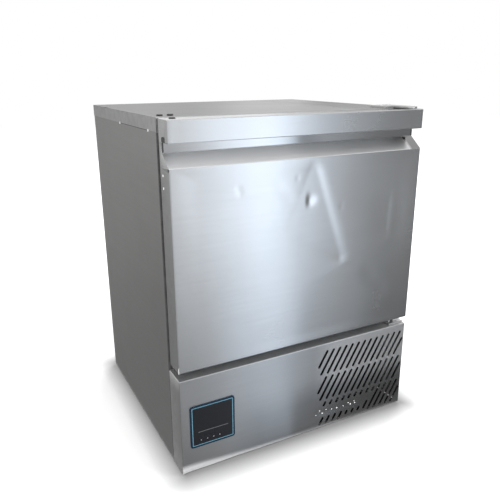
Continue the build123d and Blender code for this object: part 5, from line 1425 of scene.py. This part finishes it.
def fan(node, centre, radius, hub, hub_length, chord):
    """Axial fan: five cambered vanes round a moulded hub, on its shaft."""
    root, pitch = hub * 0.8, radians(32.0)
    bm = bmesh.new()
    rows = []
    for i in range(9):
        row = []
        for j in range(7):
            u = chord * (j / 6 - 0.5) * (1.0 - 0.22 * (i / 8) ** 5)
            tangent, along = u * cos(pitch), u * sin(pitch)
            camber = 0.09 * chord * (1.0 - (2 * u / chord) ** 2) * (0.3 + 0.7 * i / 8)
            outer = sqrt((radius - 0.6) ** 2 - tangent ** 2)
            row.append(bm.verts.new((root + (outer - root) * i / 8, along + camber, tangent)))
        rows.append(row)
    for low, high in zip(rows, rows[1:]):
        band(bm, low, high)
    vane = smooth(worked_in(thickened(object_from("vane", bm), 1.5)), 40.0)
    bpy.context.collection.objects.unlink(vane)
    ring = object_from(f"{node}_vanes", bmesh.new())
    run_tree(ring, RING_OF_COPIES, Copy=vane, Count=5, Axis=(0.0, 1.0, 0.0), Material=BLACK)
    worked_in(ring)
    ring.data.transform(Matrix.Translation(Vector(centre) * MM))
    half, shaft_end = hub_length / 2, corners(node)[1].y - centre[1]
    bm = bmesh.new()
    lathe(bm, [(0.0, -half), (hub * 0.45, -half + 0.6), (hub * 0.82, -half + 0.2), (hub - 0.5, -half + 1.4),
               (hub, -half + 3.0), (hub, half - 0.4), (hub - 1.6, half), (5.0, half), (5.0, half - 1.0),
               (0.0, half - 1.0)], centre, "y", 32)
    lathe(bm, [(0.0, half - 1.5), (3.0, half - 1.5), (3.0, shaft_end), (0.0, shaft_end)], centre, "y", 16)
    settle(joined(f"{node}_moulding", 40.0, ring, object_from(f"{node}_hub", bm)), BLACK, node)


def finned_coil(node, tubes_finish, fins_finish, x0, x1, fin_depth):
    """Thin fins between end plates, with the tube loops that run through them."""
    low, high = corners(node)
    fin, plate, gap, passes = 0.4, 2.0, 3.6, 5
    y0, y1 = low.y, low.y + (fin_depth or high.y - low.y)
    fins = object_from(f"{node}_fins", bmesh.new())
    run_tree(fins, ROW_OF_COPIES, Copy=tool(f"{node}_fin", blocks(((0.0, y0, low.z), (fin, y1, high.z)))),
             Start=metres(x0 + 1.5, 0, 0), Count=int((x1 - x0 - plate) / gap), Pitch=metres(gap, 0, 0),
             Material=fins_finish)
    settle(worked_in(fins), fins_finish, node)
    plates = blocks(*(((x, y0, low.z), (x + plate, high.y, high.z)) for x in (x0 - plate, x1)))
    solid_piece(f"{node}_end_plates", plates, fins_finish, node, edge=0.2, segments=1)
    lines = []
    pitch = (high.z - low.z) / passes
    for n in range(passes):
        z = low.z + (n + 0.5) * pitch
        loop = arc(x1 + plate, z, pitch / 4, -90, 90, 8) + arc(x0 - plate, z, pitch / 4, 90, 270, 8)
        lines.append([(u, (y0 + y1) / 2, v) for u, v in loop + loop[:1]])
    tubes = rods(f"{node}_tubes", lines, 4.0, tubes_finish, 10)
    settle(tubes, tubes_finish, beside="refrigerant_pipes" if tubes_finish is COPPER else node)


def evaporator_cover():
    """Sheet round the evaporator fan, with rows of small return air holes."""
    low = corners("evaporator_cover")[0]
    hole = bmesh.new()
    prism(hole, arc(0.0, 0.0, 3.0, 0, 330, 11), "y", low.y - 2.0, low.y + 3.5)
    pierced("evaporator_cover_pierced", "evaporator_cover", MATT_SHEET, hole,
            Start=metres(-238.0, 0, low.z + 14.0), Count=35, Pitch=metres(14.0, 0, 0), Rows=3,
            Row_Pitch=metres(0, 0, 12.0))


# Machine bay and back


def rear_panel():
    """Back sheet with three pressed beads and its screws."""
    low, high = corners("rear_panel")
    bead, margin = 0.9, 45.0
    bm = bmesh.new()
    wall(bm, "y", high.y, (low.x, low.z), (high.x, high.z))
    cut_grid(bm, "x", 123)
    cut_grid(bm, "z", 47)
    for vert in bm.verts:
        x, y, z = vert.co
        ends = held(min((z - low.z - margin) / 18.0, (high.z - margin - z) / 18.0))
        rise = sum(bead * bell(x - middle, 8.0) * ends for middle in (-200.0, 0.0, 200.0))
        vert.co.y = min(y + rise, y + bead)
    piece = object_from("rear_panel_sheet", bm)
    if piece.data.polygons[0].normal.y < 0.0:
        piece.data.flip_normals()
    settle(smooth(worked_in(thickened(piece, high.y - low.y)), 40.0), ZINC_SHEET, "rear_panel")
    bm = bmesh.new()
    for x in (-298.0, 298.0):
        for z in (low.z + 14.0, (low.z + high.z) / 2, high.z - 34.0):
            lathe(bm, [(0.0, 0.3), (1.2, 0.3), (1.5, 0.75), (2.6, 0.9), (4.0, 0.6), (4.6, 0.0), (0.0, -0.5)],
                  (x, high.y, z), "y", 20)
    solid_piece("rear_panel_screws", bm, BRIGHT, beside="hinge_screws", edge=0.0)


# Rows of slots: across, up, columns, rows
GUARD_SLOTS = ((0.0, 65.25, 2, 9), (-180.0, 65.25, 1, 2), (-180.0, 155.25, 1, 4))
GUARD_REACH = 75.0   # half a slot's length
GLAND = (-200.0, 115.5)


def guard_copies(piece, tree, copy, places):
    """Copies at slots of the rear guard."""
    for x, z, count, rows in places:
        run_tree(piece, tree, Copy=copy, Start=metres(x, 0, z), Count=count, Pitch=metres(180.0, 0, 0),
                 Rows=rows, Row_Pitch=metres(0, 0, 18.0), Material=ZINC_SHEET)
    return worked_in(piece)


def rear_guard():
    """Slotted cover of the machine bay; the corner with the hole for the lead's gland has no slots."""
    low, high = corners("rear_guard")
    near, far = low.y - 2.0, high.y + 2.0
    piece = object_from("rear_guard_slotted", blocks((low, high)))
    slot = blocks(((-GUARD_REACH, near, -3.0), (GUARD_REACH, far, 3.0)))
    guard_copies(piece, PIERCED_SHEET, tool("guard_slot", slot), GUARD_SLOTS)
    bore = bmesh.new()
    prism(bore, [(u + GLAND[0], v + GLAND[1]) for u, v in arc(0.0, 0.0, 7.8, 0, 345, 23)], "y", near, far)
    run_tree(piece, PIERCED_SHEET, Copy=tool("gland_bore", bore), Material=ZINC_SHEET)
    settle(smooth(worked_in(piece)), ZINC_SHEET, "rear_guard")


def rear_louvres():
    """Pressed hoods over the slots of the rear guard."""
    back = corners("rear_guard")[1].y
    section = [(back - 0.2, 4.2), (back + 1.9, 3.4), (back + 3.8, 1.2), (back + 4.6, -2.6)]
    bm = bmesh.new()
    strip(bm, section, "x", -GUARD_REACH, GUARD_REACH)
    for x in (-GUARD_REACH, GUARD_REACH):
        patch(bm, [(x, y, z) for y, z in section + [(back - 0.2, -2.6)]])
    hood = smooth(folded("hood", bm, 0.8, 0.7, 2), 40.0)
    bpy.context.collection.objects.unlink(hood)
    parts = [guard_copies(object_from("hoods", bmesh.new()), ROW_OF_COPIES, hood, [place])
             for place in GUARD_SLOTS]
    settle(joined("rear_louvre_hoods", 40.0, *parts), ZINC_SHEET, beside="rear_guard")


def foot(node):
    """Levelling foot: moulded pad, lock nut and threaded stem."""
    low, high = corners(node)
    x, y = (low.x + high.x) / 2, (low.y + high.y) / 2
    bm = bmesh.new()
    lathe(bm, [(0.0, 0.0), (15.0, 0.0), (17.4, 0.7), (18.0, 2.0), (18.0, 4.6), (16.6, 6.6), (13.0, 7.4),
               (11.5, 8.0), (0.0, 8.0)], (x, y, 0.0), "z", 36)
    solid_piece(f"{node}_pad", bm, BLACK, node, edge=0.0)
    bm = bmesh.new()
    prism(bm, [(x + u, y + v) for u, v in arc(0.0, 0.0, 8.5 / cos(pi / 6), 0, 300, 5)], "z", 8.0, 12.0)
    thread = [(0.0, 11.5), (4.4, 11.5)]
    for n in range(27):
        thread += [(4.35, 12.0 + 1.5 * n), (4.95, 12.75 + 1.5 * n)]
    thread += [(4.3, 53.0), (3.6, high.z), (0.0, high.z)]
    lathe(bm, thread, (x, y, 0.0), "z", 14)
    solid_piece(f"{node}_stem", bm, ZINC_PLATE, node, edge=0.3, segments=1, angle=50.0)


# Hinge screws: radius, place, axis and side that the head shows on
HINGE_SCREWS = ((4.5, (269.0, -192.0, 783.0), "z", 1), (4.5, (291.0, -192.0, 783.0), "z", 1),
                (3.6, (276.5, -266.0, 242.5), "z", 1), (3.6, (307.5, -266.0, 242.5), "z", 1),
                (4.5, (281.0, -234.0, 214.5), "y", -1), (4.5, (301.0, -234.0, 214.5), "y", -1))


def hinge_screws():
    """Pan-head screws with a recess, at both hinges."""
    bm = bmesh.new()
    for radius, place, axis, out in HINGE_SCREWS:
        head = [(0.0, -0.6), (radius, -0.6), (radius, 0.6), (radius - 0.5, 1.7), (radius - 1.5, 2.4),
                (radius * 0.45, 2.55), (radius * 0.34, 1.5), (0.0, 1.3)]
        lathe(bm, [(reach, out * along) for reach, along in head], place, axis, 24)
    solid_piece("hinge_screw_heads", bm, BRIGHT, "hinge_screws", edge=0.0)


worktop()
door_skin()
corner_curl()
handle_nosing()
handle_shadow_blocks()
door_rivets()
door_foam()
side_panel(-1, "side_panel_left")
side_panel(1, "side_panel_right")
gap_shadow_strips()
lower_panel()
panel_burrs()
door_liner()
door_gasket()
front_frame()
rack_strips()
shelf("shelf_lower")
shelf("shelf_upper")
evaporator_fan_guard()
fan("evaporator_fan_blade", (0.0, 198.5, 655.0), 70.0, 18.0, 18.0, 34.0)
fan("condenser_fan_blade", (167.0, -157.0, 137.25), 81.0, 22.0, 22.0, 44.0)
finned_coil("evaporator_coil", COPPER, FINS, -180.0, 180.0, 42.0)
finned_coil("condenser_coil", CONDENSER_PAINT, CONDENSER_PAINT, 86.0, 248.0, None)
evaporator_cover()
rear_panel()
rear_guard()
rear_louvres()
for foot_name in ("foot_front_left", "foot_front_right", "foot_rear_left", "foot_rear_right"):
    foot(foot_name)
hinge_screws()

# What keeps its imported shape, with softened edges
for node_name in frame["nodes"]:
    if node_name not in SETTLED:
        dressed(node_name, OWN_FINISH.get(node_name), edge=0.0 if node_name in ROUND_NODES else 0.3)

for node_name, shown in frame["nodes"].items():
    shown.data.materials.clear()
    shown.data.materials.append(SLOT_FINISH[SLOT_OF[node_name]])
